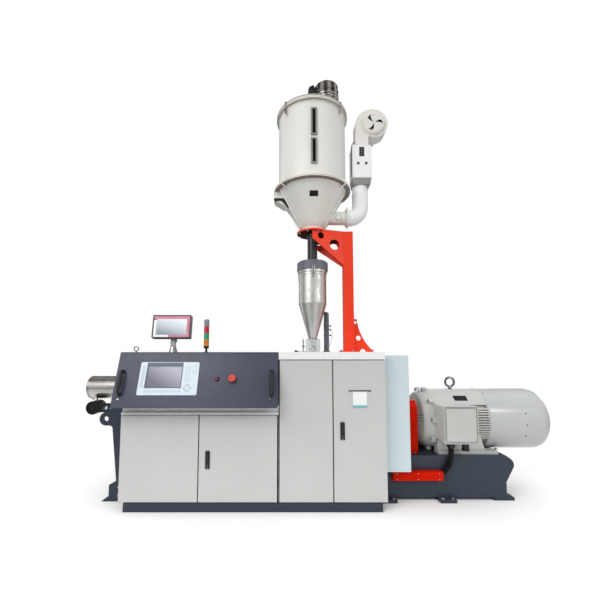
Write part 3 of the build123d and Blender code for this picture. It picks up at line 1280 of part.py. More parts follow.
add("plinth", plinth())
add("base_frame", base_frame())
add("stand_plates", *stand_plates())
add("motor_pedestal", motor_pedestal())
add("cable_duct", cable_duct())
add("motor_conduit", motor_conduit())
add("cabinet_side_walls", *cabinet_side_walls())
add("cabinet_back_panels", *cabinet_back_panels())
add("cabinet_tops", *cabinet_tops())
add("cabinet_front_bands", *cabinet_front_bands())
add("door_pivot_pins", *door_pivot_pins())
for leaf_name in LEAVES:
    add(leaf_name, door_leaf(leaf_name))
add("low_door_handle", door_handle("low_door_right", LOW_HANDLE_Z))
add("tall_door_handle", door_handle("tall_door_right", TALL_HANDLE_Z))
add("barrel", barrel())
add("feed_housing", feed_housing())
add("barrel_cover", barrel_cover())
add("barrel_fan", barrel_fan())
add("fan_bracket", fan_bracket())
add("gearbox", gearbox())
add("drive_cover", drive_cover())
add("coupling_guard", coupling_guard())
add("motor_body", motor_body())
add("motor_shroud", motor_shroud())
add("motor_terminal_box", motor_terminal_box())
add("lifting_eyes", *lifting_eyes())
add("console_front", console_front())
add("console_end_plates", *console_end_plates())
add("console_top", console_top_sheet())
add("console_back", console_back())
add("operator_panel", operator_panel())
add("panel_buttons", *panel_buttons())
add("console_handles", *console_handles())
add("monitor_post", monitor_post())
add("monitor_yoke", monitor_yoke())
add("monitor", monitor())
add("stack_light", stack_light())
add("feeder_base", feeder_base())
add("feeder_hopper", feeder_hopper())
add("feeder_lid", feeder_lid())
add("feeder_side_tube", feeder_side_tube())
add("feeder_hose", feeder_hose())
add("hopper_support", hopper_support())
add("dryer_cone", dryer_cone())
add("dryer_body", dryer_body())
add("dryer_lid", dryer_lid())
add("sight_glasses", *sight_glasses())
add("clean_out_port", clean_out_port())
add("vacuum_loader", vacuum_loader())
add("loader_cap", loader_cap())
add("hot_air_inlet", hot_air_inlet())
add("hot_air_pipe", hot_air_pipe())
add("heater_box", heater_box())
add("blower", blower())
add("blower_inlet", blower_inlet())

whole = Compound([solid for solids in pieces.values() for solid in solids]).bounding_box()
to_origin = Pos(-(whole.min.X + whole.max.X) / 2, -(whole.min.Y + whole.max.Y) / 2, 0)

os.makedirs("parts", exist_ok=True)
for name, solids in pieces.items():
    placed = [to_origin * solid for solid in solids]
    export_step(placed[0] if len(placed) == 1 else Compound(placed), f"parts/{name}.step")

print("moved by", to_origin.position)
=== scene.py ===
from math import atan2, ceil, cos, pi, radians, sin

import bpy
from mathutils import Matrix, Vector


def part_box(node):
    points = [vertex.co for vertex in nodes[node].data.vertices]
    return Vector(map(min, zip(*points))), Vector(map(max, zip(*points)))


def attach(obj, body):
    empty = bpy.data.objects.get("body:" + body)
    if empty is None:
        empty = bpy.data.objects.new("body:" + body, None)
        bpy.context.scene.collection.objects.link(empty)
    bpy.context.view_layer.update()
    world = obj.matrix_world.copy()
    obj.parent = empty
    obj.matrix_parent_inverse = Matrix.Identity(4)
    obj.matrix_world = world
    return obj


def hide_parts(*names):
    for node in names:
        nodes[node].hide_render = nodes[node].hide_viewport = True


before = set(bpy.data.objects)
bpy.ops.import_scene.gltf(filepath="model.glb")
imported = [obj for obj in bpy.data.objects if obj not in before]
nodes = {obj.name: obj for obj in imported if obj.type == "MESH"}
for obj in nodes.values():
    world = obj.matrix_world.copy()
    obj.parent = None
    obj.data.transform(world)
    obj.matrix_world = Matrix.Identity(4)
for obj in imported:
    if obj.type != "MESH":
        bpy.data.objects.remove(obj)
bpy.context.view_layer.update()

# Working axes
# The pieces below are placed in the millimetres of the machine's own axes: X from the feed throat
# towards the motor, Y from the screw towards the back, Z from the floor.
feed_x = (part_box("feeder_lid")[0].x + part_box("feeder_lid")[1].x) / 2
screw_y = (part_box("barrel_cover")[0].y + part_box("barrel_cover")[1].y) / 2
LEFT, RIGHT = (-1, 0, 0), (1, 0, 0)
OUT, BACK = (0, -1, 0), (0, 1, 0)
DOWN, UP = (0, 0, -1), (0, 0, 1)


def place(x, y, z):
    """Millimetres in the working axes to metres in the row frame."""
    return Vector((feed_x + x / 1000, screw_y + y / 1000, z / 1000))


def span(name):
    """Lowest and highest corner of a CAD node, in working millimetres."""
    low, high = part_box(name)
    return (Vector(((low.x - feed_x) * 1000, (low.y - screw_y) * 1000, low.z * 1000)),
            Vector(((high.x - feed_x) * 1000, (high.y - screw_y) * 1000, high.z * 1000)))


# Viewpoint
# The photographer stood on the operator side, a little left of the feed throat, with the eye at 1.5 m,
# and tilted slightly upward to take in the dryer.
PHOTO_SIDE = 600
FOCAL_PIXELS = 335.0
CENTRE_ACROSS, CENTRE_DOWN = 292.0, 325.6
SENSOR = 36.0
camera_data = bpy.data.cameras.new("photo_camera")
camera_data.sensor_width = SENSOR
camera_data.lens = SENSOR * FOCAL_PIXELS / PHOTO_SIDE
camera_data.shift_x = (PHOTO_SIDE / 2 - CENTRE_ACROSS) / PHOTO_SIDE
camera_data.shift_y = (CENTRE_DOWN - PHOTO_SIDE / 2) / PHOTO_SIDE
camera = bpy.data.objects.new("photo_camera", camera_data)
bpy.context.scene.collection.objects.link(camera)
camera.location = place(-240, -3870, 1500)
camera.rotation_euler = (radians(94.5), 0.0, 0.0)
bpy.context.scene.camera = camera


# Base
# Box beams, plinth, pedestal and stand plates: welded steel, blasted and powder coated in satin slate blue.
# The machine is new, so its coats are clean and even, with a fine orange peel.
def linear(hex_colour):
    """sRGB hex to the linear colour that the shader works in."""
    values = [int(hex_colour[i:i + 2], 16) / 255 for i in (0, 2, 4)]
    return tuple(v / 12.92 if v <= 0.04045 else ((v + 0.055) / 1.055) ** 2.4 for v in values) + (1.0,)


def put(tree, kind, values=(), links=(), **settings):
    """Adds one shader node with its settings, its input values and its incoming links."""
    new = tree.nodes.new(kind)
    for key, value in settings.items():
        setattr(new, key, value)
    for key, value in dict(values).items():
        new.inputs[key].default_value = value
    for key, source in dict(links).items():
        tree.links.new(source, new.inputs[key])
    return new


def blank(name, colour, roughness, metallic=0.0):
    """A new material with its principled shader set: (material, tree, shader)."""
    made = bpy.data.materials.new(name)
    made.use_nodes = True
    shader = made.node_tree.nodes["Principled BSDF"]
    shader.inputs["Base Color"].default_value = linear(colour)
    shader.inputs["Roughness"].default_value = roughness
    shader.inputs["Metallic"].default_value = metallic
    return made, made.node_tree, shader


def pattern(tree, size_mm, detail=3.0, stretch=(1, 1, 1), rough=0.55):
    """Noise whose features are about size_mm long, drawn in the object's own metres."""
    where = put(tree, "ShaderNodeTexCoord").outputs["Object"]
    moved = put(tree, "ShaderNodeMapping", {"Scale": stretch}, {"Vector": where}).outputs[0]
    return put(tree, "ShaderNodeTexNoise", {"Scale": 1000.0 / size_mm, "Detail": detail, "Roughness": rough},
               {"Vector": moved}).outputs["Fac"]


def ranged(tree, source, low, high, start=0.3, end=0.7):
    """Maps a pattern onto a range of values."""
    return put(tree, "ShaderNodeMapRange", {"From Min": start, "From Max": end, "To Min": low, "To Max": high},
               {"Value": source}).outputs["Result"]


def tinted(tree, source, first, second):
    """Mixes two colours by a pattern."""
    mixed = put(tree, "ShaderNodeMix", data_type="RGBA")
    mixed.inputs[6].default_value = linear(first)
    mixed.inputs[7].default_value = linear(second)
    tree.links.new(source, mixed.inputs["Factor"])
    return mixed.outputs[2]


def embossed(tree, shader, source, depth_mm):
    """Raises the surface by a pattern."""
    bump = put(tree, "ShaderNodeBump", {"Strength": 1.0, "Distance": depth_mm / 1000}, {"Height": source})
    tree.links.new(bump.outputs[0], shader.inputs["Normal"])


def finished(name, colour, roughness, metallic=0.0, tint=(), gloss=(), grain=(), sockets=()):
    """Material with its patterns: tint (two colours, patch mm), gloss (lowest and highest roughness, patch mm)
    and grain (height mm, pitch mm). What follows the size goes on to pattern()."""
    made, tree, shader = blank(name, colour, roughness, metallic)
    if tint:
        patches = ranged(tree, pattern(tree, *tint[2:]), 0, 1)
        tree.links.new(tinted(tree, patches, *tint[:2]), shader.inputs["Base Color"])
    if gloss:
        tree.links.new(ranged(tree, pattern(tree, *gloss[2:]), *gloss[:2]), shader.inputs["Roughness"])
    if grain:
        embossed(tree, shader, pattern(tree, *grain[1:]), grain[0])
    for socket, value in dict(sockets).items():
        shader.inputs[socket].default_value = value
    return made


def powder_coat(name, colour, shade, roughness, peel_mm=3.0, peel_depth=0.06, specular=0.35):
    """Baked powder coat: faintly cloudy tone, fine orange peel and slightly uneven gloss."""
    return finished(name, colour, roughness, tint=(colour, shade, 420.0),
                    gloss=(roughness - 0.05, roughness + 0.07, 60.0, 4.0), grain=(peel_depth, peel_mm, 1.5),
                    sockets={"Specular IOR Level": specular})


def soften(item, name, edge_mm, segments=2):
    """Rounds the edges of an object that are sharper than 40 degrees."""
    rounding = item.modifiers.new(name, "BEVEL")
    rounding.width = edge_mm / 1000
    rounding.segments = segments
    rounding.limit_method = "ANGLE"
    rounding.angle_limit = radians(40)
    rounding.harden_normals = True


def dress(names, finish, edge_mm=1.5, segments=2):
    """Gives CAD nodes a material and rounds their sharp edges as folding and painting leave them."""
    for name in names:
        item = nodes[name]
        for holder in item.material_slots:
            holder.material = finish
        if not item.material_slots:
            item.data.materials.append(finish)
        if edge_mm:
            soften(item, "worn_edge", edge_mm, segments)


# Slate powder coat: a dark satin blue that hides the welds' grinding under a fine orange peel.
slate_coat = powder_coat("slate_powder_coat_on_welded_steel", "2f3844", "2c3541", 0.44)
dress(["base_frame", "plinth", "stand_plates", "motor_pedestal"], slate_coat, 2.0)


def frame_on(at, axis):
    """Matrix in millimetres whose Z runs along an axis from a place."""
    return Matrix.Translation(at) @ Vector(axis).normalized().to_track_quat("Z", "Y").to_matrix().to_4x4()


def turned(profile, at, axis=UP, count=32, turn=0.0):
    """Lathe form from (distance along the axis, radius) pairs. A radius of 0 closes it in a point."""
    matrix = frame_on(at, axis)
    points, faces, rings = [], [], []
    for along, radius in profile:
        if radius == 0:
            rings.append([len(points)])
            points.append(matrix @ Vector((0, 0, along)))
        else:
            rings.append(list(range(len(points), len(points) + count)))
            for i in range(count):
                angle = 2 * pi * i / count + turn
                points.append(matrix @ Vector((radius * cos(angle), radius * sin(angle), along)))
    for first, second in zip(rings, rings[1:]):
        for i in range(count):
            j = (i + 1) % count
            if len(first) == 1:
                faces.append((first[0], second[i], second[j])[::-1])
            elif len(second) == 1:
                faces.append((first[i], first[j], second[0]))
            else:
                faces.append((first[i], first[j], second[j], second[i]))
    if len(rings[0]) > 1:
        faces.append(rings[0][::-1])
    if len(rings[-1]) > 1:
        faces.append(rings[-1])
    return points, faces


def brick(low, high):
    """Box between two corners. Its edges are rounded by the piece that it becomes part of."""
    points = [Vector((x, y, z)) for x in (low[0], high[0]) for y in (low[1], high[1]) for z in (low[2], high[2])]
    return points, [(0, 1, 3, 2), (4, 6, 7, 5), (0, 4, 5, 1), (2, 3, 7, 6), (0, 2, 6, 4), (1, 5, 7, 3)]


def pressed(shape, start, end, across="Y"):
    """Flat outline given a thickness across X, Y or Z. The outline holds the other two coordinates in order."""
    def put_at(u, v, w):
        return Vector({"X": (w, u, v), "Y": (u, w, v), "Z": (u, v, w)}[across])

    count = len(shape)
    points = [put_at(u, v, start) for u, v in shape] + [put_at(u, v, end) for u, v in shape]
    faces = [tuple(range(count)), tuple(range(2 * count - 1, count - 1, -1))]
    faces += [((i + 1) % count, i, i + count, (i + 1) % count + count) for i in range(count)]
    return points, faces


def tube(path, radius, count=12, closed=False):
    """Round bar swept along points without twisting. The radius may be a list, one for each point."""
    path = [Vector(p) for p in path]
    last = len(path)
    points, faces = [], []
    side = None
    for i, here in enumerate(path):
        before = path[i - 1] if i or closed else here
        after = path[(i + 1) % last] if i + 1 < last or closed else here
        forward = (after - before).normalized()
        if side is None:
            side = forward.orthogonal().normalized()
        side = (side - forward * side.dot(forward)).normalized()
        other = forward.cross(side)
        r = radius[i] if isinstance(radius, list) else radius
        for k in range(count):
            angle = 2 * pi * k / count
            points.append(here + side * (r * cos(angle)) + other * (r * sin(angle)))
    for i in range(last if closed else last - 1):
        a, b = i * count, ((i + 1) % last) * count
        for k in range(count):
            j = (k + 1) % count
            faces.append((a + k, a + j, b + j, b + k))
    if not closed:
        faces += [tuple(range(count))[::-1], tuple(range((last - 1) * count, last * count))]
    return points, faces


def arc(centre, radius, start, end, steps, plane="XZ"):
    """Points on an arc, in degrees, in one of the three planes."""
    made = []
    for i in range(steps + 1):
        angle = radians(start + (end - start) * i / steps)
        u, v = radius * cos(angle), radius * sin(angle)
        made.append(Vector(centre) + Vector({"XZ": (u, 0, v), "XY": (u, v, 0), "YZ": (0, u, v)}[plane]))
    return made


def moved(part, matrix):
    """The same part carried to another place."""
    return [matrix @ p for p in part[0]], part[1]


def bolt(at, axis, size):
    """Hexagon head on a washer, for a thread of this size."""
    return [turned([(0, size * 1.05), (size * 0.16, size * 1.05)], at, axis, 20),
            turned([(size * 0.16, size * 0.92), (size * 0.7, size * 0.92), (size * 0.8, size * 0.78)], at, axis, 6)]


def socket_screw(at, axis, size):
    """Cylinder head with its socket."""
    return [turned([(0, size * 0.8), (size * 0.7, size * 0.8), (size * 0.8, size * 0.7), (size * 0.8, size * 0.42),
                    (size * 0.35, size * 0.42), (size * 0.35, 0)], at, axis, 12)]


def screws_at(xs, ys, zs, axis, size, head=bolt):
    """The same screw at every crossing of three rows of coordinates."""
    return [part for x in xs for y in ys for z in zs for part in head((x, y, z), axis, size)]


def piece(name, finish, parts, body="machine", edge_mm=0.0, smooth=38, stands_for=()):
    """Joins parts into one mesh that rides on a body, with soft shading up to an angle and rounded edges."""
    points, faces = [], []
    for part_points, part_faces in parts:
        start = len(points)
        points += [place(*p) for p in part_points]
        faces += [[i + start for i in face] for face in part_faces]
    mesh = bpy.data.meshes.new(name)
    mesh.from_pydata(points, [], faces)
    mesh.validate()
    mesh.polygons.foreach_set("use_smooth", [True] * len(mesh.polygons))
    mesh.set_sharp_from_angle(angle=radians(smooth))
    mesh.materials.append(finish)
    made = bpy.data.objects.new(name, mesh)
    bpy.context.scene.collection.objects.link(made)
    if edge_mm:
        soften(made, "rounded_edge", edge_mm)
    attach(made, body)
    if stands_for:
        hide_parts(*stands_for)
    return made


# Anchor bolts through the foot plates, and the bolts that hold the stand plates to the beams: steel with a
# bright zinc plate, whose tone drifts a little from blue to yellow.
zinc = finished("zinc_plated_bolt_steel", "b9bcbd", 0.36, 1.0, tint=("aeb2b4", "c6c4bb", 9.0))
rail_right, rail_side, rail_top = 1941.0, 350.0, 180.0
foot_middles = (1322.5, 730.5)
foot_top = 30.0
anchors = []
for foot_x in foot_middles:
    for side in (-1, 1):
        anchors += screws_at((foot_x - 50.0, foot_x + 50.0), (side * (rail_side + 34.0),), (foot_top,), UP, 18.0)
stand_right = span("stand_plates")[1].x
for side in (-1, 1):
    for z in (60.0, 140.0):
        for dx in (-40.0, -95.0):
            anchors += bolt((stand_right + dx, side * (rail_side + 20.0), z), (0, side, 0), 14.0)
piece("anchor_bolts", zinc, anchors)

# Weld beads where the pedestal and the foot plates meet the beams, under the same coat, which is thicker and
# brighter on their scales.
weld_coat = powder_coat("coated_weld_bead", "363f4a", "3e4753", 0.4, 5.0, 0.5)


def bead(start, end, size=5.0, pitch=7.0):
    """Row of overlapping scales along a joint."""
    start, end = Vector(start), Vector(end)
    steps = max(2, int((end - start).length / pitch)) * 2
    swell = [size * (1.0 if i % 2 else 0.78) for i in range(steps + 1)]
    return tube([start.lerp(end, i / steps) for i in range(steps + 1)], swell, 6)


pedestal_low, pedestal_high = span("motor_pedestal")
beads = []
for side in (-1, 1):
    beads.append(bead((pedestal_low.x, side * rail_side, rail_top), (rail_right - 4.0, side * rail_side, rail_top)))
    for foot_x in foot_middles:
        beads.append(bead((foot_x - 78.0, side * rail_side, foot_top), (foot_x + 78.0, side * rail_side, foot_top)))
piece("base_weld_beads", weld_coat, beads)


# Cabinets
# Folded steel sheet in light grey powder coat, with near-white tops and fixed bands above the leaves.
# The walls are welded to the plinth; the leaves turn on pins in the band above and the plinth below.

# Powder coats on sheet: even and satin, with a peel so fine that only the light's edge shows it.
cabinet_coat = powder_coat("light_grey_powder_coat_on_sheet", "cacac8", "c6c6c4", 0.42, 2.2, 0.03)
leaf_coat = powder_coat("light_grey_powder_coat_on_door_leaf", "c9c9c7", "c5c5c3", 0.4, 2.2, 0.03)
band_coat = powder_coat("near_white_powder_coat_on_sheet", "f1f2f1", "edeeed", 0.36, 2.2, 0.025)
dress(["cabinet_side_walls", "cabinet_back_panels"], cabinet_coat, 0.6)
dress(["low_door_left", "low_door_right", "tall_door_left", "tall_door_right"], leaf_coat, 2.0)
dress(["cabinet_tops", "cabinet_front_bands"], band_coat, 1.2)
# Turned steel: feed marks 0.6 mm apart round the pin make its gloss uneven.
turned_steel = finished("turned_hinge_pin_steel", "8f9294", 0.3, 1.0, gloss=(0.22, 0.4, 0.6, 2.0, (1, 1, 12)))
dress(["door_pivot_pins"], turned_steel, 0)

# Swing handles: black glass-filled plastic with a fine spark-eroded grain, screwed into the leaf. The grain is
# drawn at 0.9 mm, coarser than the real one, so that it shows as a dull bloom.
black_plastic = finished("black_moulded_plastic_with_spark_grain", "15161a", 0.5, gloss=(0.42, 0.6, 14.0),
                         grain=(0.04, 0.9, 2.0))
dress(["low_door_handle", "tall_door_handle"], black_plastic, 1.2)
for leaf, handle in (("low_right_door", "low_door_handle"), ("tall_right_door", "tall_door_handle")):
    low, high = span(handle)
    middle = (low.x + high.x) / 2
    lock_z = low.z + (high.z - low.z) * 0.15
    front = low.y + 6.4
    keyhole = [brick((middle - 6.5, front - 1.6, lock_z - 13.0), (middle + 6.5, front + 0.5, lock_z + 13.0)),
               brick((middle - 0.9, front - 2.6, lock_z - 3.6), (middle + 0.9, front - 1.4, lock_z + 3.6))]
    piece(leaf + "_lock_cylinder", turned_steel, keyhole, leaf)
    screws = screws_at((middle,), (low.y + 10.0,), (low.z + 5.5, high.z - 5.5), OUT, 4.0, socket_screw)
    piece(leaf + "_handle_screws", zinc, screws, leaf)

# Sealing strips: black cellular rubber glued inside the leaves' edges, dark in the gaps between the leaves.
foam = finished("black_cellular_rubber_strip", "0d0d0e", 0.85, grain=(0.1, 1.2, 2.0))
for leaf, name in (("low_left_door", "low_door_left"), ("low_right_door", "low_door_right"),
                   ("tall_left_door", "tall_door_left"), ("tall_right_door", "tall_door_right")):
    low, high = span(name)
    y0, y1 = high.y - 1.0, high.y + 3.0
    strips = []
    for x in (low.x + 6.0, high.x - 16.0):
        strips.append(brick((x, y0, low.z + 30.0), (x + 10.0, y1, high.z - 30.0)))
    for z in (low.z + 30.0, high.z - 40.0):
        strips.append(brick((low.x + 16.0, y0, z), (high.x - 16.0, y1, z + 10.0)))
    piece(name + "_sealing_strip", foam, strips, leaf, 1.5)

# Work sheet: a bare white sheet of paper with a pale teal foot, matt and faintly fibrous, hung from a thin
# magnetic rail on the right tall leaf. It curls a little towards its sides.
SHEET_LEFT, SHEET_WIDTH, SHEET_FOOT, SHEET_HEAD = 345.0, 135.0, 964.0, 1120.0
TEAL_TOP = 0.990
leaf_front = span("tall_door_right")[0].y
paper, paper_tree, paper_shader = blank("white_office_paper", "f4f5f2", 0.75)
embossed(paper_tree, paper_shader, pattern(paper_tree, 0.7, 2.0), 0.02)
where = put(paper_tree, "ShaderNodeTexCoord").outputs["Object"]
paper_height = put(paper_tree, "ShaderNodeSeparateXYZ", links={"Vector": where}).outputs["Z"]
low_band = ranged(paper_tree, paper_height, 1.0, 0.0, TEAL_TOP, TEAL_TOP + 0.0002)
paper_tree.links.new(tinted(paper_tree, low_band, "f2f4f1", "7fb9bd"), paper_shader.inputs["Base Color"])
curl = [(SHEET_LEFT + SHEET_WIDTH * i / 8, leaf_front - 1.2 - 2.2 * (i / 8 - 0.5) ** 2 * 4) for i in range(9)]
sheet_outline = [(x, y) for x, y in curl] + [(x, y + 0.4) for x, y in reversed(curl)]
piece("work_sheet", paper, [pressed(sheet_outline, SHEET_FOOT, SHEET_HEAD, "Z")], "tall_right_door")
rail = [brick((306.0, leaf_front - 5.0, SHEET_HEAD + 1.0), (524.0, leaf_front, SHEET_HEAD + 11.0))]
piece("work_sheet_rail", black_plastic, rail, "tall_right_door", 1.0)

# Back panel screws: the two back sheets are held by a row of flanged screws along each edge.
back_face = span("cabinet_back_panels")[1].y
SCREW_PITCH, SCREW_EDGE = 290, 22.0
screws = []
for x0, x1, z0, z1 in ((-1876.0, -374.0, 83.0, 981.0), (-366.0, 661.0, 83.0, 1496.0)):
    across = ceil((x1 - x0) / SCREW_PITCH)
    up = ceil((z1 - z0) / SCREW_PITCH)
    for i in range(across + 1):
        x = x0 + SCREW_EDGE + (x1 - x0 - 2 * SCREW_EDGE) * i / across
        for z in (z0 + SCREW_EDGE, z1 - SCREW_EDGE):
            screws += bolt((x, back_face, z), BACK, 6.0)
    for i in range(1, up):
        for x in (x0 + SCREW_EDGE, x1 - SCREW_EDGE):
            screws += bolt((x, back_face, z0 + (z1 - z0) * i / up), BACK, 6.0)
piece("back_panel_screws", zinc, screws)


# Extrusion unit
# A plain steel barrel in a brushed stainless cover, with a cooling fan hung under its free end.
# The cover is one rolled sheet, lapped and screwed along the operator side.
def brushed(name, colour, shade, stretch, roughness=0.3, grain_mm=0.5, depth=0.02):
    """Rolled sheet with its grain drawn out in one direction."""
    streaks = (grain_mm, 4.0, stretch, 0.6)
    return finished(name, colour, roughness, 1.0, (colour, shade) + streaks,
                    (roughness - 0.07, roughness + 0.1, 90.0), (depth,) + streaks)


def hoop(centre, radius, rod, steps=96, plane="XY", count=8):
    """Round bar bent into a full ring."""
    return tube(arc(centre, radius, 0, 360, steps, plane)[:-1], rod, count, True)


def around(count, radius, start=0.0, step=None):
    """Two coordinates of each of a number of places on a circle, the first at an angle in degrees."""
    angles = [radians(start + (step or 360 / count) * k) for k in range(count)]
    return [(radius * cos(angle), radius * sin(angle)) for angle in angles]


# Stainless sheet and turned steel: half-millimetre lines round the barrel draw each light out along it.
stainless_round = brushed("stainless_sheet_brushed_around_the_tube", "c9c6c2", "b3afaa", (1, 0.03, 0.03))
dress(["barrel_cover"], stainless_round, 0)
machined = brushed("turned_barrel_steel", "8d8f92", "7b7d80", (1, 0.02, 0.02), 0.28, 0.4)
dress(["barrel"], machined, 1.5)
cover_low, cover_high = span("barrel_cover")
cover_r = (cover_high.z - cover_low.z) / 2
screw_z = (cover_high.z + cover_low.z) / 2
COVER_SEEN_TO = -1920.0
seam_angle, lap_step, screw_angle = radians(2), radians(1.2), radians(2) + radians(4)
lap = []
for lap_r, order in ((cover_r + 1.2, range(7)), (cover_r - 0.5, range(6, -1, -1))):
    for i in order:
        angle = seam_angle + lap_step * i
        lap.append((-cos(angle) * lap_r, screw_z + sin(angle) * lap_r))
piece("barrel_cover_lap", stainless_round, [pressed(lap, cover_low.x + 3.0, COVER_SEEN_TO, "X")])
screws = []
for i in range(5):
    screws += bolt((cover_low.x + 60.0 + i * 125.0, -cos(screw_angle) * (cover_r + 1.0),
                    screw_z + sin(screw_angle) * (cover_r + 1.0)), (0, -cos(seam_angle), sin(seam_angle)), 5.0)
piece("barrel_cover_screws", zinc, screws)
# Painted shade: a thin black bar along the lap's edge stands for the shadow line under the lapped seam.
piece("barrel_cover_painted_seam_shade", foam,
      [tube([(cover_low.x + 3.0, -cover_r - 0.4, screw_z), (COVER_SEEN_TO, -cover_r - 0.4, screw_z)], 2.4, 8)])
end_band = [hoop((cover_low.x + x, 0, screw_z), cover_r, 1.8, plane="YZ", count=6)
            for x in (8.0, 12.0, 16.0, 20.0, 24.0)]
end_band.append(brick((cover_low.x + 10.0, -14.0, screw_z - cover_r - 16.0),
                      (cover_low.x + 24.0, 14.0, screw_z - cover_r)))
piece("barrel_cover_end_band", stainless_round, end_band)

# Cooling fan: steel housing and wire guard in smooth, glossy black stove enamel, on a black bracket that has
# one pale blue moulded plug.
black_enamel = powder_coat("black_stove_enamel", "121316", "1a1b1e", 0.34, 2.0, 0.03)
dress(["barrel_fan"], black_enamel, 1.5)
dress(["fan_bracket"], black_enamel, 0.8)
fan_low = span("barrel_fan")[0]
fan_r = 72.0
fan_x, fan_z = fan_low.x + fan_r, fan_low.z + fan_r
fan_front = fan_low.y
wire_y = fan_front + 1.5
wires = [hoop((fan_x, wire_y, fan_z), radius, 1.4, 48, "XZ", 6) for radius in (30.0, 40.0, 50.0, 60.0)]
for near, far in zip(around(4, 20, 45), around(4, 66, 45)):
    wires.append(tube([(fan_x + near[0], wire_y, fan_z + near[1]), (fan_x + far[0], wire_y, fan_z + far[1])], 1.6, 6))
piece("barrel_fan_guard", black_enamel, wires)
pale_cap = finished("pale_blue_moulded_plug", "a9c4d4", 0.45, grain=(0.03, 0.9, 2.0))
clamp_parts = [brick((fan_x - 8, fan_front + 60.0, fan_z + 66.0), (fan_x + 22, fan_front + 90.0, fan_z + 78.0))]
clamp_parts += bolt((fan_x + 7.0, fan_front + 60.0, fan_z + 72.0), OUT, 6.0)
piece("barrel_fan_hanger_clamp", zinc, clamp_parts, edge_mm=0.8)
bracket_low, bracket_high = span("fan_bracket")
piece("fan_bracket_plug", pale_cap, [turned([(-1, 17.0), (4.0, 17.0), (7.0, 13.0), (7.5, 0)],
                                            (fan_x + 150.0, bracket_low.y, fan_z), OUT, 32)])
piece("fan_bracket_bolts", zinc, screws_at((bracket_high.x - 30.0, bracket_high.x - 90.0), (bracket_low.y,),
                                           (bracket_low.z + 22.0, bracket_high.z - 22.0), OUT, 8.0))

# Gearbox: cast housing in slate enamel, which keeps the sand's coarse skin, with a joint flange. Its feed
# housing stands under the hopper.
cast_slate = powder_coat("slate_enamel_on_cast_iron", "343d48", "3a434f", 0.48, 3.5, 0.35)
dress(["gearbox", "feed_housing"], cast_slate, 3.0)
gear_low, gear_high = span("gearbox")
joint_z, foot_z = screw_z + 17.0, 214.0
gear_bolts = []
for side in (-1, 1):
    for i in range(5):
        x = gear_low.x + 40.0 + i * (gear_high.x - gear_low.x - 80.0) / 4
        for z, size in ((joint_z, 12.0), (foot_z, 14.0)):
            gear_bolts += bolt((x, side * (gear_high.y - 11.0), z), UP, size)
piece("gearbox_bolts", zinc, gear_bolts)

# Gearbox cover: folded sheet in smooth pale blue enamel, nearly white in the light, screwed on through its
# right face.
pale_blue = powder_coat("pale_blue_enamel_on_sheet", "ccdadf", "c6d4d9", 0.34, 3.0, 0.03)
dress(["drive_cover"], pale_blue, 4.0)
cover_box_low, cover_box_high = span("drive_cover")
upright = [cover_box_low.z + 40.0 + i * (cover_box_high.z - cover_box_low.z - 80.0) / 5 for i in range(6)]
level = [cover_box_low.y + i * (cover_box_high.y - cover_box_low.y) / 4 for i in range(1, 4)]
screws = screws_at((cover_box_high.x,), (cover_box_low.y + 26.0, cover_box_high.y - 26.0), upright, RIGHT, 7.0)
screws += screws_at((cover_box_high.x,), level, (cover_box_high.z - 26.0,), RIGHT, 7.0)
piece("drive_cover_screws", zinc, screws)
piece("drive_cover_back_hatch", pale_blue,
      [brick((cover_box_low.x + 40.0, cover_box_high.y, cover_box_low.z + 120.0),
             (cover_box_high.x - 40.0, cover_box_high.y + 4.0, cover_box_high.z - 120.0))], edge_mm=1.5)

# Coupling guard and cable duct: sheet in a deep red enamel that mirrors little, bolted to the pedestal and to
# the beam.
signal_red = powder_coat("red_enamel_on_sheet", "cd1a00", "c51800", 0.34, 3.0, 0.03, 0.05)
dress(["coupling_guard", "cable_duct"], signal_red, 2.5)
guard_low, guard_high = span("coupling_guard")
guard_parts = [brick((guard_low.x + 12.0, y0, guard_low.z + 2.0), (guard_high.x - 12.0, y1, guard_low.z + 8.0))
               for y0, y1 in ((guard_low.y - 22.0, guard_low.y + 2.0), (guard_high.y - 2.0, guard_high.y + 22.0))]
piece("coupling_guard_feet", signal_red, guard_parts, edge_mm=1.2)
screws = []
for side in (-1, 1):
    for x in (guard_low.x + 38.0, guard_high.x - 38.0):
        screws += bolt((x, side * (guard_high.y + 11.0), guard_low.z + 8.0), UP, 8.0)
duct_low, duct_high = span("cable_duct")
screws += screws_at((duct_low.x + 40.0, (duct_low.x + duct_high.x) / 2, duct_high.x - 40.0), (duct_low.y - 2.0,),
                    (duct_low.z + 14.0, duct_high.z - 14.0), OUT, 4.0)
piece("guard_and_duct_screws", zinc, screws)
piece("cable_duct_lid", signal_red, [brick((duct_low.x + 6.0, duct_low.y - 2.0, duct_low.z + 4.0),
                                           (duct_high.x - 6.0, duct_low.y + 0.5, duct_high.z - 4.0))], edge_mm=0.8)


# Motor
# Finned cast-iron frame in pale grey-green enamel, with a ribbed end shield, a deep-drawn fan shroud
# and a cast terminal box. It is bolted through its feet to the pedestal.

# Grey-green enamel: on the castings it follows the sand's skin and looks soft; on the drawn shroud it is a
# smooth, wet-looking gloss.
motor_cast = powder_coat("grey_green_enamel_on_cast_iron", "c3c5c1", "bcbebb", 0.34, 2.6, 0.18)
motor_sheet = powder_coat("glossy_grey_green_enamel_on_drawn_sheet", "bdc0be", "b8bbb9", 0.18, 9.0, 0.03)
dress(["motor_body"], motor_cast, 1.8, 1)
dress(["motor_shroud"], motor_sheet, 2.0)
dress(["motor_terminal_box"], motor_cast, 5.0)
shroud_low, shroud_high = span("motor_shroud")
body_low, body_high = span("motor_body")
shaft_z = (shroud_low.z + shroud_high.z) / 2
motor_r = (shroud_high.z - shroud_low.z) / 2


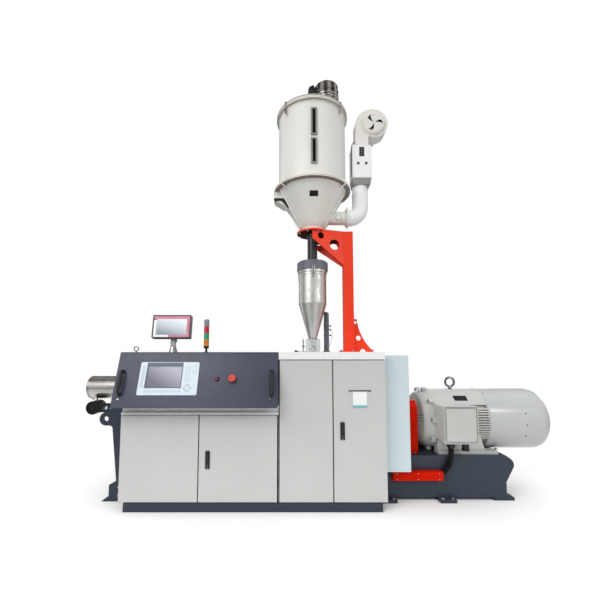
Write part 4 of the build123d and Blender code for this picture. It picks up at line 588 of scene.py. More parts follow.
def spun(degrees, axis="Z", at=(0, 0, 0)):
    """Matrix that turns a part about an axis through the origin and then carries it to a place."""
    return Matrix.Translation(at) @ Matrix.Rotation(radians(degrees), 4, axis)


def about_shaft(angle):
    """Matrix that carries parts drawn above the motor's axis to an angle above level, on the operator side."""
    return spun(90 - angle, "X", (0, 0, shaft_z))


def washer(inner, outer, start, end):
    """Lathe profile of a flat ring."""
    return [(start, inner), (start, outer), (end, outer), (end, inner)]


# Ten cast ears join the shield to the frame, each with its bolt; the shroud and feet are bolted on as well.
SHIELD_EARS, SHIELD_RIBS, SHROUD_SCREWS = 10, 80, 8
ears, motor_bolts = [], []
ear_x = body_low.x + 134.0
for k in range(SHIELD_EARS):
    spot = about_shaft(6 + 360 // SHIELD_EARS * k)
    ears.append(moved(brick((ear_x, -27.0, motor_r - 40.0), (ear_x + 46.0, 27.0, motor_r + 27.0)), spot))
    motor_bolts += [moved(part, spot) for part in bolt((ear_x, 0, motor_r + 5.0), LEFT, 14.0)]
for k in range(SHROUD_SCREWS):
    motor_bolts += [moved(part, about_shaft(-72 + 360 // SHROUD_SCREWS * k))
                    for part in bolt((shroud_low.x + 26.0, 0, motor_r), UP, 6.0)]
foot_height = 32.0
for side in (-1, 1):
    for x, y in ((body_low.x + 330.0, 228.0), (body_low.x + 560.0, 228.0), (body_high.x + 8.0, 257.0)):
        motor_bolts += bolt((x, side * y, pedestal_high.z + foot_height), UP, 20.0)
piece("motor_shield_ears", motor_cast, ears, edge_mm=4.0)
rib_shape = [(body_low.x + x, r) for x, r in ((27.0, 186.0), (80.0, 258.0), (70.0, 272.0), (16.0, 204.0))]
piece("motor_shield_ribs", motor_cast,
      [moved(pressed(rib_shape, -4.2, 4.2), about_shaft(360 / SHIELD_RIBS * k)) for k in range(SHIELD_RIBS)])
# Painted shade between the ribs: a dark, matt green-grey cone under the ribs stands for the shade in the open slots
# between them, not for the enamel's own colour.
deep_shade = finished("painted_shade_between_the_ribs", "4c5450", 0.7, grain=(0.1, 2.6))
piece("motor_shield_painted_gap_shade", deep_shade, [turned([(0, 150.0), (0.5, 194.5), (46.0, 259.5), (48.0, 230.0)],
                                               (body_low.x + 27.5, 0, shaft_z), RIGHT, 96)])
piece("motor_bolts", zinc, motor_bolts)
piece("shroud_front_bead", motor_sheet,
      [turned([(0, motor_r - 1), (0, motor_r + 2.5), (4, motor_r + 4), (10, motor_r + 4), (14, motor_r + 2.5),
               (14, motor_r - 1)], (shroud_low.x, 0, shaft_z), RIGHT, 128)])
shroud_screws = [moved(part, about_shaft(angle)) for side in (0, 180) for angle in (18 + side, -3 + side, -25 + side)
                 for part in bolt((shroud_high.x - 284.0, 0, motor_r), UP, 6.0)]
piece("shroud_bracket_screws", black_enamel, shroud_screws)
grille = [hoop((shroud_high.x - 5.0, 0, shaft_z), 60.0 + 20.0 * k, 2.0, 72, "YZ", 6) for k in range(7)]
piece("shroud_intake_wires", black_enamel, grille)

# Terminal box: a cast rim and seal step and a socket screw in each corner of its lid, a rubber gasket behind it,
# and two black glands underneath. The first holds the corrugated conduit, which ends in the red duct.
box_low, box_high = span("motor_terminal_box")
lid_low_z = box_low.z + 28.0
piece("terminal_box_screws", zinc, screws_at((box_low.x + 15.0, box_high.x - 15.0), (box_low.y + 14.0,),
                                             (lid_low_z + 15.0, box_high.z - 15.0), OUT, 8.0, socket_screw))
for name, inset, step, wide, level_y, upright_y, edge_mm in (("rim", 1.0, 1.0, 7.0, 2.0, 2.0, 2.0),
                                                             ("seal", 14.0, 15.0, 6.0, 7.0, 10.0, 0.0)):
    around_lid = [brick((box_low.x + inset, box_low.y + level_y, z), (box_high.x - inset, box_low.y + 15.0, z + wide))
                  for z in (lid_low_z + step, box_high.z - step - wide)]
    around_lid += [brick((x, box_low.y + upright_y, lid_low_z + step + wide),
                         (x + wide, box_low.y + 15.0, box_high.z - step - wide))
                   for x in (box_low.x + inset, box_high.x - inset - wide)]
    piece("terminal_box_lid_" + name, motor_cast, around_lid, edge_mm=edge_mm)
piece("terminal_box_gasket", foam, [brick((box_low.x + 8.0, box_low.y + 47.0, lid_low_z + 8.0),
                                          (box_high.x - 8.0, box_low.y + 51.0, box_high.z - 8.0))])
conduit_low, conduit_high = span("motor_conduit")
conduit_x, conduit_y = conduit_high.x - 28.0, (conduit_low.y + conduit_high.y) / 2
duct_z = (duct_low.z + duct_high.z) / 2
second_x = box_high.x - 56.0
glands = [turned(profile, (x, conduit_y, lid_low_z), DOWN, count) for x, count, profile in (
    (conduit_x, 6, [(0, 40.0), (24.0, 40.0), (28.0, 46.0), (52.0, 46.0), (56.0, 38.0)]),
    (conduit_x, 24, [(50.0, 36.0), (70.0, 36.0), (76.0, 32.0)]),
    (second_x, 6, [(0, 44.0), (22.0, 44.0), (26.0, 38.0), (46.0, 38.0), (50.0, 34.0)]),
    (second_x, 24, [(44.0, 34.0), (78.0, 34.0), (82.0, 38.0), (104.0, 38.0), (106.0, 30.0)]))]
glands.append(turned([(0, 36.0), (14.0, 36.0)], (duct_high.x - 2.0, conduit_y, duct_z + 2.0), RIGHT, 32))
piece("terminal_box_glands", black_plastic, glands, edge_mm=0.8)
corner_z = duct_z + 130.0
start, corner = Vector((conduit_x, conduit_y, box_low.z + 6.0)), Vector((conduit_x, conduit_y, corner_z))
end = Vector((duct_high.x + 4.0, conduit_y, duct_z + 5.0))
bend_from, bend_to = Vector((conduit_x, conduit_y, corner_z + 60.0)), corner.lerp(end, 0.4)
path, radii = [], []
CORRUGATION = 7.5
for first, middle, last in ((start, start.lerp(bend_from, 0.5), bend_from), (bend_from, corner, bend_to),
                            (bend_to, bend_to.lerp(end, 0.5), end)):
    steps = max(2, round((last - first).length / CORRUGATION)) * 2
    for i in range(steps):
        path.append(first.lerp(middle, i / steps).lerp(middle.lerp(last, i / steps), i / steps))
        radii.append(27.5 if i % 2 else 23.5)
piece("corrugated_conduit", black_plastic, [tube(path, radii, 20)], stands_for=("motor_conduit",))

# Bare plate of dark anodised aluminium, dull with a faint level grain, riveted high on the frame's flank, and
# two grease nipples beside the crown.
anodised = brushed("dark_anodised_aluminium_plate", "4a4c55", "585a62", (0.05, 1, 1), 0.4, 0.5)
arc_out = arc((0, 0, shaft_z), motor_r + 1.6, 124.5, 137.0, 6, "YZ")
arc_in = arc((0, 0, shaft_z), motor_r - 0.6, 124.5, 137.0, 6, "YZ")
plate_x, plate_wide = body_low.x + 419.0, 142.0
piece("motor_bare_plate", anodised,
      [pressed([(p.y, p.z) for p in arc_out + arc_in[::-1]], plate_x, plate_x + plate_wide, "X")])
rivet = [(0, 3.6), (1.2, 3.4), (2.2, 2.0), (2.6, 0)]
rivets = [moved(turned(rivet, (x, 0, motor_r + 1.4), count=14), about_shaft(angle))
          for x in (plate_x + 8.0, plate_x + plate_wide - 8.0) for angle in (44.5, 54.0)]
piece("motor_plate_rivets", zinc, rivets)
nipple = [(-6.0, 6.0), (6.0, 6.0), (7.0, 4.0), (13.0, 4.0), (15.0, 5.0), (18.0, 3.0), (19.0, 0)]
nipples = [turned(nipple, (body_low.x + x, -60.0, shaft_z + r), (0, -0.2, 1), 12)
           for x, r in ((100.0, 292.0), (130.0, 300.0))]
piece("motor_grease_nipples", zinc, nipples)


# Console
# Sloping hood of folded sheet in dark blue-grey powder coat, over the barrel. Its front carries the operator
# panel, the lamp, the stop button and two locks; two black bar handles are screwed near its ends.

# Dark blue-grey powder coat: deep and a little glossy, so the sloping front carries soft reflections.
console_coat = powder_coat("dark_blue_grey_powder_coat_on_sheet", "464a5a", "414555", 0.33, 2.4, 0.04)
dress(["console_front", "console_end_plates", "console_top", "console_back"], console_coat, 2.0)
dress(["console_handles"], black_plastic, 0)
# Polished stainless: a bright mirror that handling has dulled in patches.
polished = finished("polished_stainless_fitting", "d6d6d4", 0.16, 1.0, gloss=(0.12, 0.26, 15.0))
plate_low, plate_high = span("console_end_plates")
console_left, console_right = plate_low.x, plate_high.x
console_foot_z, console_top_z = plate_low.z, span("console_top")[1].z
console_height = console_top_z - console_foot_z
head_y = span("console_top")[0].y
foot_y = plate_low.y
lean = atan2(head_y - foot_y, console_height)


def on_console(from_left, lift):
    """Matrix of a place on the sloping front: X along it, Z up it, and -Y straight out of it."""
    y = foot_y + (head_y - foot_y) * lift / console_height
    return Matrix.Translation((console_left + from_left, y, console_foot_z + lift)) @ Matrix.Rotation(-lean, 4, "X")


console_wide = console_right - console_left
trim = [moved(brick((0, -1.6, low_z), (console_wide - 12.0, 0.4, low_z + 10.0)), on_console(6.0, lift))
        for low_z, lift in ((0, 2.0), (-10.0, console_height - 8))]
piece("console_front_folds", console_coat, trim, edge_mm=0.7)
BAR_LIFT, BAR_PLACES = 222.0, (67.0, console_wide - 58.0)
handle_foot = [(-1, 19.0), (5.0, 19.0), (8.0, 15.0)]
handle_feet = [moved(turned(handle_foot, (0, 0, shift), OUT, 24), on_console(inset, BAR_LIFT))
               for inset in BAR_PLACES for shift in (-110.0, 110.0)]
piece("console_handle_feet", black_plastic, handle_feet)
grip = [Vector((0, -48.0, -92.0 + 184.0 * i / 12)) for i in range(13)]
grip_radii = [14.5 + 6.0 * sin(pi * i / 12) for i in range(13)]
piece("console_handle_grips", black_plastic,
      [moved(tube(grip, grip_radii, 20), on_console(inset, BAR_LIFT)) for inset in BAR_PLACES])
locks = []
for from_left in (62.0, 1472.0):
    spot = on_console(from_left, 76.0)
    locks.append(moved(turned([(0, 12.0), (2.0, 12.0), (9.0, 10.0), (9.0, 5.4), (7.0, 5.4), (7.0, 0)], (0, 0, 0),
                              OUT, 24), spot))
    locks.append(moved(brick((-1.2, -8.4, -4.4), (1.2, -6.9, 4.4)), spot))
piece("console_locks", polished, locks)

# Operator panel: an aluminium plate under a pale blue polyester membrane, satin and slightly cloudy. The unlit
# screen lies deep in a dark printed bezel, with key pads in the membrane at its left, below it and at its right,
# and a diamond of cursor keys.
foil = finished("pale_blue_polyester_membrane", "d3dfe6", 0.42, tint=("d1dee5", "d8e3ea", 70.0),
                grain=(0.015, 0.9, 2.0))
dress(["operator_panel"], foil, 1.2)
panel_base = on_console(225.0, 112.0)

# Faces of a block whose two ends may differ in size, from the four corners of each end in turn.
TAPERED = [(0, 1, 5, 4), (1, 2, 6, 5), (2, 3, 7, 6), (3, 0, 4, 7), (4, 5, 6, 7), (3, 2, 1, 0)]


def on_panel(x, z):
    """Matrix of a place on the operator panel's face, measured from its lower left corner."""
    return panel_base @ Matrix.Translation((x, -8.0, z))


def key(x, z, width, height, proud=1.6):
    """Key pad with sloping flanks, lower left corner first."""
    inset = min(width, height) * 0.12
    points = [Vector(corner) for y, i in ((0.3, 0), (-proud, inset))
              for corner in ((i, y, i), (width - i, y, i), (width - i, y, height - i), (i, y, height - i))]
    return moved((points, TAPERED), on_panel(x, z))


def plaque(x0, x1, y0, y1, z0, z1):
    """Flat piece on the panel between two corners."""
    return moved(brick((x0, y0, z0), (x1, y1, z1)), on_panel(0, 0))


# Screen-printed bezel: even slate blue ink, satin like the foil that it is printed on.
bezel = finished("slate_blue_screen_printed_bezel", "4a566b", 0.35, grain=(0.01, 0.9, 2.0))
piece("panel_screen_bezel", bezel, [plaque(x0, x1, -1.2, 2.9, z0, z1) for x0, x1, z0, z1 in (
    (62.0, 407.0, 274.0, 313.0), (62.0, 407.0, 66.0, 74.0), (62.0, 76.0, 74.0, 274.0), (399.0, 407.0, 74.0, 274.0))],
      edge_mm=0.6)


def painted_reflection_gradient(name, first, second, roughness, across=0.5, up=0.5, start=0.25, end=0.8):
    """Smooth surface with a painted reflection: its tone passes from one colour at the lower left to another at the
    upper right, as the room's light lies on it.
    """
    made, tree, shader = blank(name, first, roughness)
    split = put(tree, "ShaderNodeSeparateXYZ", links={"Vector": put(tree, "ShaderNodeTexCoord").outputs["Generated"]})
    sideways = put(tree, "ShaderNodeMath", {1: across}, {0: split.outputs["X"]}, operation="MULTIPLY").outputs[0]
    total = put(tree, "ShaderNodeMath", {1: up}, {0: split.outputs["Z"], 2: sideways},
                operation="MULTIPLY_ADD").outputs[0]
    tree.links.new(tinted(tree, ranged(tree, total, 0, 1, start, end), first, second), shader.inputs["Base Color"])
    return made


# Unlit liquid crystal: dark violet-grey, paler where the room's light lies on it. Key pads: embossed foil.
unlit_screen = painted_reflection_gradient("unlit_liquid_crystal_screen", "4f4e68", "a3a2b3", 0.2)
piece("panel_screen", unlit_screen, [plaque(70.0, 403.0, 1.0, 2.9, 70.0, 278.0)])
key_plastic = finished("grey_blue_embossed_key_pad", "bfcdd8", 0.5, grain=(0.02, 0.9, 2.0))
keys = [key(64.0 + i * 34.4, 26.0, 28.0, 20.0) for i in range(10)]
keys += [key(18.0, 74.0 + r * 24.0, 28.0, 18.0) for r in range(9)]
piece("panel_key_pads", key_plastic, keys, edge_mm=0.5)
pale_key = finished("white_embossed_key_pad", "c9d6de", 0.5, grain=(0.02, 0.9, 2.0))
pale_keys = [key(430.0 + c * 21.0, 128.0 + r * 26.0, 16.0, 20.0) for c in range(3) for r in range(6)]
pale_keys += [key(502.0 + c * 24.0, 200.0 + r * 24.0, 18.0, 16.0, 1.2) for c in range(2) for r in range(4)]
CURSOR_X, CURSOR_Z = 466.0, 66.0
for k in range(4):
    turn_by = spun(45 + 90 * k, "Y", (CURSOR_X, 0, CURSOR_Z))
    pale_keys.append(moved(key(5.0, 5.0, 22.0, 22.0, 2.4), panel_base @ turn_by @ panel_base.inverted()))
piece("panel_pale_key_pads", pale_key, pale_keys, edge_mm=0.5)
cursor_line = turned([(0.2, 41.0), (-0.5, 41.0), (-0.5, 38.5), (0.2, 38.5)], (0, 0, 0), BACK, 4)
piece("panel_cursor_field", bezel, [moved(cursor_line, on_panel(CURSOR_X, CURSOR_Z))])
corner_screws = [moved(part, on_panel(x, z)) for x in (12.0, 548.0) for z in (12.0, 306.0)
                 for part in socket_screw((0, 0, 0), OUT, 4.0)]
piece("panel_corner_screws", zinc, corner_screws)

# Signal lamp and stop button: a small lens of dark crimson acrylic and a mushroom head of red moulded plastic,
# both glossy with soft highlights, each in a black collar.
LAMP_X, BUTTON_X, BUTTON_LIFT = 967.0, 1111.0, 259.0
red_cap = finished("red_moulded_button_plastic", "c8301f", 0.3, gloss=(0.24, 0.38, 12.0))
dress(["panel_buttons"], red_cap, 5.0)
crimson = finished("dark_crimson_lamp_lens", "6b1430", 0.2, gloss=(0.15, 0.3, 9.0))
lens = turned([(0, 16.5), (22.0, 16.0), (27.0, 11.0), (28.5, 0)], (0, 0, 0), OUT, 32)
piece("signal_lamp_lens", crimson, [moved(lens, on_console(LAMP_X, BUTTON_LIFT))])
collars = [moved(turned([(0, r), (3.0, r), (5.0, r - 3.0), (5.0, inner)], (0, 0, 0), OUT, 40),
                 on_console(from_left, BUTTON_LIFT))
           for from_left, r, inner in ((LAMP_X, 22.0, 15.0), (BUTTON_X, 34.0, 21.0))]
piece("button_collars", black_plastic, collars)
dress(["lifting_eyes"], turned_steel, 0)

# Monitor: thin flat screen in a moulded dark grey shell, satin with a fine grain, with a rose-red and white
# front frame. It tilts on a pin in the swivel head of its satin aluminium post.
shell_plastic = finished("dark_grey_moulded_monitor_shell", "33343a", 0.42, grain=(0.03, 0.8, 2.0))
dress(["monitor"], shell_plastic, 2.5)
satin_aluminium = brushed("satin_anodised_aluminium_post", "c2c2c4", "b2b2b5", (1, 1, 0.05), 0.36, 0.5)
dress(["monitor_post", "monitor_yoke"], satin_aluminium, 1.0)
# The screen's outline and front before it tilts, and the pin that it tilts on, as the CAD has them.
mon_x0, mon_x1, mon_front, mon_z0, mon_z1 = -1643.5, -1256.5, -520.0, 1622.0, 1862.0
pin_place = Vector((0, -428.0, 1710.3))
mon_tilt = spun(-8, "X", pin_place) @ Matrix.Translation(-pin_place)


def framing(x0, x1, z0, z1, y0=mon_front + 0.4, y1=mon_front + 2.9):
    """Flat strip of the monitor's front, carried to its tilt."""
    return moved(brick((x0, y0, z0), (x1, y1, z1)), mon_tilt)


# Printed frame: glossy rose ink that fades a little from place to place, and a clean white part at the left.
rose = finished("rose_red_printed_frame", "cf6a8a", 0.3, tint=("c96384", "d8829b", 160.0))
frame_white = finished("white_printed_frame", "f1eef1", 0.3, grain=(0.01, 1.2, 2.0))
edge, wide = 14.0, 27.0
in_x0, in_x1 = mon_x0 + edge + wide, mon_x1 - edge - wide
in_z0, in_z1 = mon_z0 + edge + wide * 0.75, mon_z1 - edge - wide
knee_x = mon_x0 + 165.0
piece("monitor_rose_frame", rose, [framing(mon_x0 + edge, mon_x1 - edge, in_z1, mon_z1 - edge),
                                   framing(in_x1, mon_x1 - edge, mon_z0 + edge, in_z1),
                                   framing(knee_x, in_x1, mon_z0 + edge, in_z0)], "monitor_screen", 0.5)
piece("monitor_white_frame", frame_white, [framing(mon_x0 + edge, in_x0, in_z0, in_z1 - 10.0),
                                           framing(mon_x0 + edge, knee_x, mon_z0 + edge, in_z0)], "monitor_screen", 0.5)
# Coated display glass: near-mirror smooth, with the room's light paling it towards its top.
glass = painted_reflection_gradient("coated_display_glass_over_unlit_panel", "93a0a9", "d9e2e6", 0.12, 0.4, 0.7, 0.2, 0.9)
piece("monitor_glass", glass, [framing(in_x0 - 1, in_x1 + 1, in_z0 - 1, in_z1 + 1, mon_front + 1.4)],
      "monitor_screen", 0.3)
pin_low, pin_high = span("monitor_yoke")
pin_y, pin_z = pin_high.y - 12.0, pin_high.z - 9.0
knobs = [turned([(-2, 13.0), (6.0, 15.0), (11.0, 15.0), (13.0, 11.0), (13.0, 0)], (x, pin_y, pin_z), (side, 0, 0), 8)
         for side, x in ((-1, pin_low.x), (1, pin_high.x))]
piece("monitor_tilt_knobs", black_plastic, knobs, "monitor_swivel_head", 0.8)

# Stack light: a brown pole, a black base, three ribbed lenses and a grey sounder cap, stacked on one thread.
stack_low, stack_high = span("stack_light")
stack_x, stack_y = (stack_low.x + stack_high.x) / 2, (stack_low.y + stack_high.y) / 2
stack_r = (stack_high.x - stack_low.x) / 2


def lens_colour(name, colour, deep):
    """Tinted polycarbonate that glows a little where light goes through."""
    return finished(name, colour, 0.16, tint=(colour, deep, 30.0),
                    sockets={"Subsurface Weight": 0.25, "Subsurface Scale": 0.01})


def ribbed(z0, z1, radius, ribs):
    """Lens wall with rounded upright steps all the way up."""
    profile = [(z0, 0), (z0, radius - 2.0)]
    for i in range(ribs):
        start = z0 + (z1 - z0) * i / ribs
        end = z0 + (z1 - z0) * (i + 1) / ribs
        profile += [(start + (end - start) * 0.2, radius), (start + (end - start) * 0.8, radius),
                    (end, radius - 1.2)]
    return profile + [(z1, 0)]


# The tube has a smooth brown enamel and the cap is grey moulded plastic; both are satin.
pole_brown = finished("dark_brown_enamelled_tube", "453238", 0.35, grain=(0.02, 1.5, 2.0))
cap_grey = finished("grey_moulded_sounder_cap", "7f7f86", 0.35, grain=(0.02, 0.9, 2.0))
neck_r, lens_ribs = stack_r - 2, 7
stack_parts = (
    ("pole", pole_brown, [(0, 0), (0, 22.0), (4.0, 22.0), (5.0, 12.0), (38.0, 12.0), (38.0, 0)]),
    ("base", black_plastic, [(38, 0), (38, neck_r), (40, stack_r), (60, stack_r), (62, neck_r), (62, 0)]),
    ("amber_lens", lens_colour("amber_polycarbonate_lens", "e58e26", "d67c18"), ribbed(62, 126, stack_r, lens_ribs)),
    ("green_lens", lens_colour("green_polycarbonate_lens", "2ba873", "1f9564"), ribbed(128, 192, stack_r, lens_ribs)),
    ("red_lens", lens_colour("red_polycarbonate_lens", "cf2743", "b81d37"), ribbed(194, 258, stack_r, lens_ribs)),
    ("sounder_cap", cap_grey, [(260, 0), (260, stack_r), (264, stack_r), (266, neck_r), (280, neck_r),
                               (282, stack_r), (326, stack_r), (334, stack_r - 6), (336, 0)]))
for part_name, finish, profile in stack_parts:
    piece("stack_" + part_name, finish, [turned(profile, (stack_x, stack_y, stack_low.z), UP, 40)],
          stands_for=("stack_light",))


# Feed hopper
# Brushed stainless hopper on a clear chute block with a slide gate, under a dark grey lid held by toggle
# latches. A ribbed hose drops into the lid from the dryer, and a suction tube stands beside the chute.

# Brushed stainless: fine level lines round the hopper spread each light into a tall soft band.
stainless_upright = brushed("stainless_sheet_brushed_round_the_hopper", "cdccc9", "c2c0bc", (0.03, 0.03, 1), 0.44)
dress(["feeder_hopper"], stainless_upright, 0)
# Moulded lid: dull dark grey with a fine grain. Clear acrylic: milky, with glossy saw-polished faces.
lid_grey = finished("dark_grey_moulded_hopper_lid", "656772", 0.5, grain=(0.05, 1.1, 2.0))
dress(["feeder_lid"], lid_grey, 2.0)
clear = finished("clear_acrylic_block", "dfe3e2", 0.14, gloss=(0.1, 0.22, 40.0),
                 sockets={"Transmission Weight": 0.45, "IOR": 1.49})
dress(["feeder_base"], clear, 1.5)
# Gunmetal enamel: smooth, dark and half glossy on the tube and the rods.
gunmetal = powder_coat("gunmetal_enamel_on_steel_tube", "55585f", "62656c", 0.35, 2.0, 0.03)
dress(["feeder_side_tube"], gunmetal, 0.8)
chute_low, chute_high = span("feeder_base")
hopper_top, lid_bottom = span("feeder_hopper")[1].z, span("feeder_lid")[0].z
hopper_r = 161.0
table_z = chute_low.z
chute_bolts = []
for sx in (-1, 1):
    for sy in (-1, 1):
        chute_bolts += bolt((sx * 62.0, sy * 62.0, chute_high.z), UP, 9.0)
        chute_bolts += socket_screw((sx * 40.0, sy * 79.0, table_z + 30.0), (0, sy, 0), 8.0)
chute_bolts.append(turned([(0, 15.0), (10.0, 15.0), (13.0, 12.0), (13.0, 0)], (8.0, -79.0, table_z + 58.0),
                          OUT, 8))
piece("feeder_base_bolts", zinc, chute_bolts)
neck = [turned([(0, 46.0), (6.0, 52.0), (10.0, 52.0), (16.0, 46.0)], (0, 0, chute_high.z - 1.0), count=48)]
piece("feeder_neck_ring", stainless_upright, neck)
CONE_SEAM_Z = 2050.0
piece("feeder_hopper_beads", stainless_upright, [hoop((0, 0, z), r, 2.6) for z, r in (
    (hopper_top - 60.0, hopper_r), (CONE_SEAM_Z, hopper_r - 0.6), (hopper_top - 26.0, hopper_r + 8.0))])


def toggle_latch(radius, angle, low_z, high_z, s=1.0):
    """Over-centre latch of scale s on a round wall: base plate, lever folded down on it, hook and wire loop."""
    middle = low_z + (high_z - low_z) * 0.45
    loop_foot, loop_head = middle - 4 * s, high_z - 5 * s
    made = [brick((radius + x0, -y, z0), (radius + x1, y, z1)) for x0, x1, y, z0, z1 in (
        (-1, 3 * s, 11 * s, low_z, middle), (3 * s, 9 * s, 7 * s, low_z + 4 * s, middle - 3 * s),
        (8 * s, 11 * s, 9 * s, low_z - 8 * s, middle - 14 * s), (-1, 4 * s, 9 * s, high_z - 16 * s, high_z),
        (4 * s, 11 * s, 8 * s, high_z - 8 * s, high_z - 3 * s))]
    made.append(tube([(radius + 7 * s, y * s, z) for y, z in (
        (-7, loop_foot), (-7, loop_head), (7, loop_head), (7, loop_foot))], 1.8 * s, 6))
    made.append(tube([(radius + 6 * s, y * s, middle - 6 * s) for y in (-12, 12)], 2.4 * s, 8))
    return [moved(part, spun(angle)) for part in made]


latches = []
for angle in (-90, 30, 150):
    latches += toggle_latch(hopper_r + 9.0, angle, hopper_top - 78.0, lid_bottom + 44.0, 1.5)
piece("feeder_lid_latches", polished, latches, edge_mm=0.4)
gate_x = chute_low.x
gate_parts = [turned([(0, 9.0), (14.0, 9.0), (20.0, 14.0), (34.0, 16.0), (40.0, 12.0), (41.0, 0)],
                     (gate_x + 2.0, 0, table_z + 6.0), LEFT, 24)]
piece("slide_gate_knob", black_plastic, gate_parts)
steel_rods = [tube([(gate_x + 60.0, -38.0, table_z + 5.0), (gate_x + 60.0, -38.0, table_z + 128.0)], 5.0, 12),
              turned([(0, 9.0), (6.0, 9.0), (8.0, 7.0), (26.0, 3.0), (48.0, 2.0), (52.0, 0)],
                     (gate_x + 60.0, 0, table_z + 118.0), UP, 16)]
piece("slide_gate_stop_rod", gunmetal, steel_rods)
side_low, side_high = span("feeder_side_tube")
side_x, side_y = (side_low.x + side_high.x) / 2, (side_low.y + side_high.y) / 2
tube_parts = [turned([(0, 30.5), (0, 44.0), (7.0, 44.0), (9.0, 40.0), (9.0, 30.5)], (side_x, side_y, table_z))]
for z in (table_z + 190.0, table_z + 255.0, table_z + 300.0):
    tube_parts.append(turned([(0, 31.8), (0, 34.0), (10.0, 34.0), (10.0, 31.0)], (side_x, side_y, z)))
    tube_parts.append(turned([(0, 5.0), (14.0, 5.0), (16.0, 11.0), (24.0, 12.0), (28.0, 8.0), (28.0, 0)],
                             (side_x + 28.0, side_y - 8.0, z + 5.0), (1, -0.35, 0), 10))
piece("suction_tube_clamps", gunmetal, tube_parts)
wire_path = [(side_x + 44, side_y - 22, table_z + 262), (side_x + 62, side_y - 30, table_z + 235),
             (side_x + 66, side_y - 32, table_z + 190), (side_x + 58, side_y - 30, table_z + 150),
             (side_x + 40, side_y - 20, table_z + 110), (side_x + 33, side_y - 6, table_z + 60)]
piece("suction_tube_sensor_lead", black_plastic, [tube(wire_path, 2.2, 8)])

# Drop hose: smoke-grey ribbed PVC, soft and cloudy, with plain cuffs and a clamp band at each end.
hose_low, hose_high = span("feeder_hose")
hose_pvc = finished("smoke_grey_ribbed_pvc_hose", "3e4147", 0.34, tint=("34373c", "5a5d63", 26.0),
                    sockets={"Subsurface Weight": 0.12, "Subsurface Scale": 0.01})
hose_length = hose_high.z - hose_low.z
CUFF, CUFF_R, RIBS = 30.0, 60.0, 26
pitch = (hose_length - 2 * CUFF) / RIBS
profile = [(0, CUFF_R), (CUFF, CUFF_R)]
for i in range(RIBS):
    z = CUFF + (hose_length - 2 * CUFF) * i / RIBS
    profile += [(z + pitch * share, r) for share, r in ((0.15, 51.0), (0.45, 51.0), (0.6, 57.5), (0.95, 57.5))]
profile += [(hose_length - CUFF, CUFF_R), (hose_length, CUFF_R)]
piece("drop_hose", hose_pvc, [turned(profile, (0, 0, hose_low.z), count=48)], stands_for=("feeder_hose",))
bands = []
for z in (hose_low.z + 10.0, hose_high.z - 22.0):
    bands.append(turned(washer(CUFF_R, 61.5, 0, 12.0), (0, 0, z), count=48))
    bands.append(brick((-14.0, -70.0, z - 1.0), (14.0, -60.5, z + 13.0)))
    bands += socket_screw((14.0, -66.0, z + 6.0), RIGHT, 5.0)
piece("drop_hose_clamps", polished, bands, edge_mm=0.4)


# Support
# Welded plate column with a V-shaped arm, in orange-red powder coat, bolted through its foot to the cabinet
# and through its round flange to the dryer.

# Orange-red powder coat: strong and even, satin, thick enough to soften the welds.
orange_red = powder_coat("orange_red_powder_coat_on_plate", "f43d16", "e8340f", 0.36, 3.0, 0.05)
dress(["hopper_support"], orange_red, 1.5)
arm_high = span("hopper_support")[1]
column_left, column_right, column_side = 357.0, 470.0, 55.0
FLANGE_THICK, PLATE_THICK = 20.0, 12.0
weld_z, gusset_x = table_z + 2.0, column_right + 1.0
seams = []
for sy in (-1, 1):
    y = sy * column_side
    seams.append(bead((column_left, y, arm_high.z - 6.0), (column_left, y, arm_high.z - 392.0), 4.0))
    seams.append(bead((gusset_x, sy * 6.5, table_z + 40.0), (gusset_x, sy * 6.5, table_z + 376.0), 3.5))
    seams.append(bead((column_left, y, weld_z), (column_right, y, weld_z), 4.0))
seams.append(bead((column_left, -column_side, weld_z), (column_left, column_side, weld_z), 4.0))
piece("support_weld_beads", orange_red, seams)
# Painted shade: a matt, dull dark red sheet under the flange and on the rear plate's inner face stands for the shade
# inside the arm. It is seen through the holes of the front plate.
arm_painted_shade = finished("painted_shade_on_inner_faces", "3c0b08", 0.8, grain=(0.05, 3.0),
                  sockets={"Specular IOR Level": 0.1})
opened = Matrix.Translation((column_left, 49.0, 0)) @ Matrix.Rotation(-atan2(115.0, 382.0), 4, "Z")
under_flange = arm_high.z - FLANGE_THICK
inner_face = [(-372.0, under_flange - 1.0), (-3.0, under_flange - 1.0), (-3.0, under_flange - 82.0),
              (-372.0, under_flange - 82.0)]
piece("support_inner_painted_shade", arm_painted_shade,
      [moved(pressed(inner_face, -7.2, -6.0), opened),
       turned(washer(62.0, 174.0, 0, 1.2), (0, 0, under_flange - 1.2), count=64)])
flange_bolts = [part for x, y in around(8, 158.0, 22.5) for part in bolt((x, y, under_flange), DOWN, 12.0)]
piece("support_flange_bolts", zinc, flange_bolts)
foot_plate = [brick((x0, y0, table_z), (x1, y1, table_z + PLATE_THICK)) for x0, x1, y0, y1 in (
    (column_left - 42.0, column_left, -92.0, 92.0), (column_left, column_right, column_side, 92.0),
    (column_left, column_right, -92.0, -column_side))]
piece("support_foot_plate", orange_red, foot_plate, edge_mm=1.5)
foot_bolts = screws_at((column_left - 24.0, column_right - 18.0), (-75.0, 75.0), (table_z + PLATE_THICK,),
                       UP, 14.0)
foot_bolts += bolt((arm_high.x - 16.0, -6.0, table_z + 22.0), OUT, 10.0)
piece("support_foot_bolts", zinc, foot_bolts)


# Dryer
# Insulated shell and cone in cream powder coat, joined at a flanged ring, with a flat lid held by toggle
# latches, dark sight glasses in grey frames, and four strips along the cone.

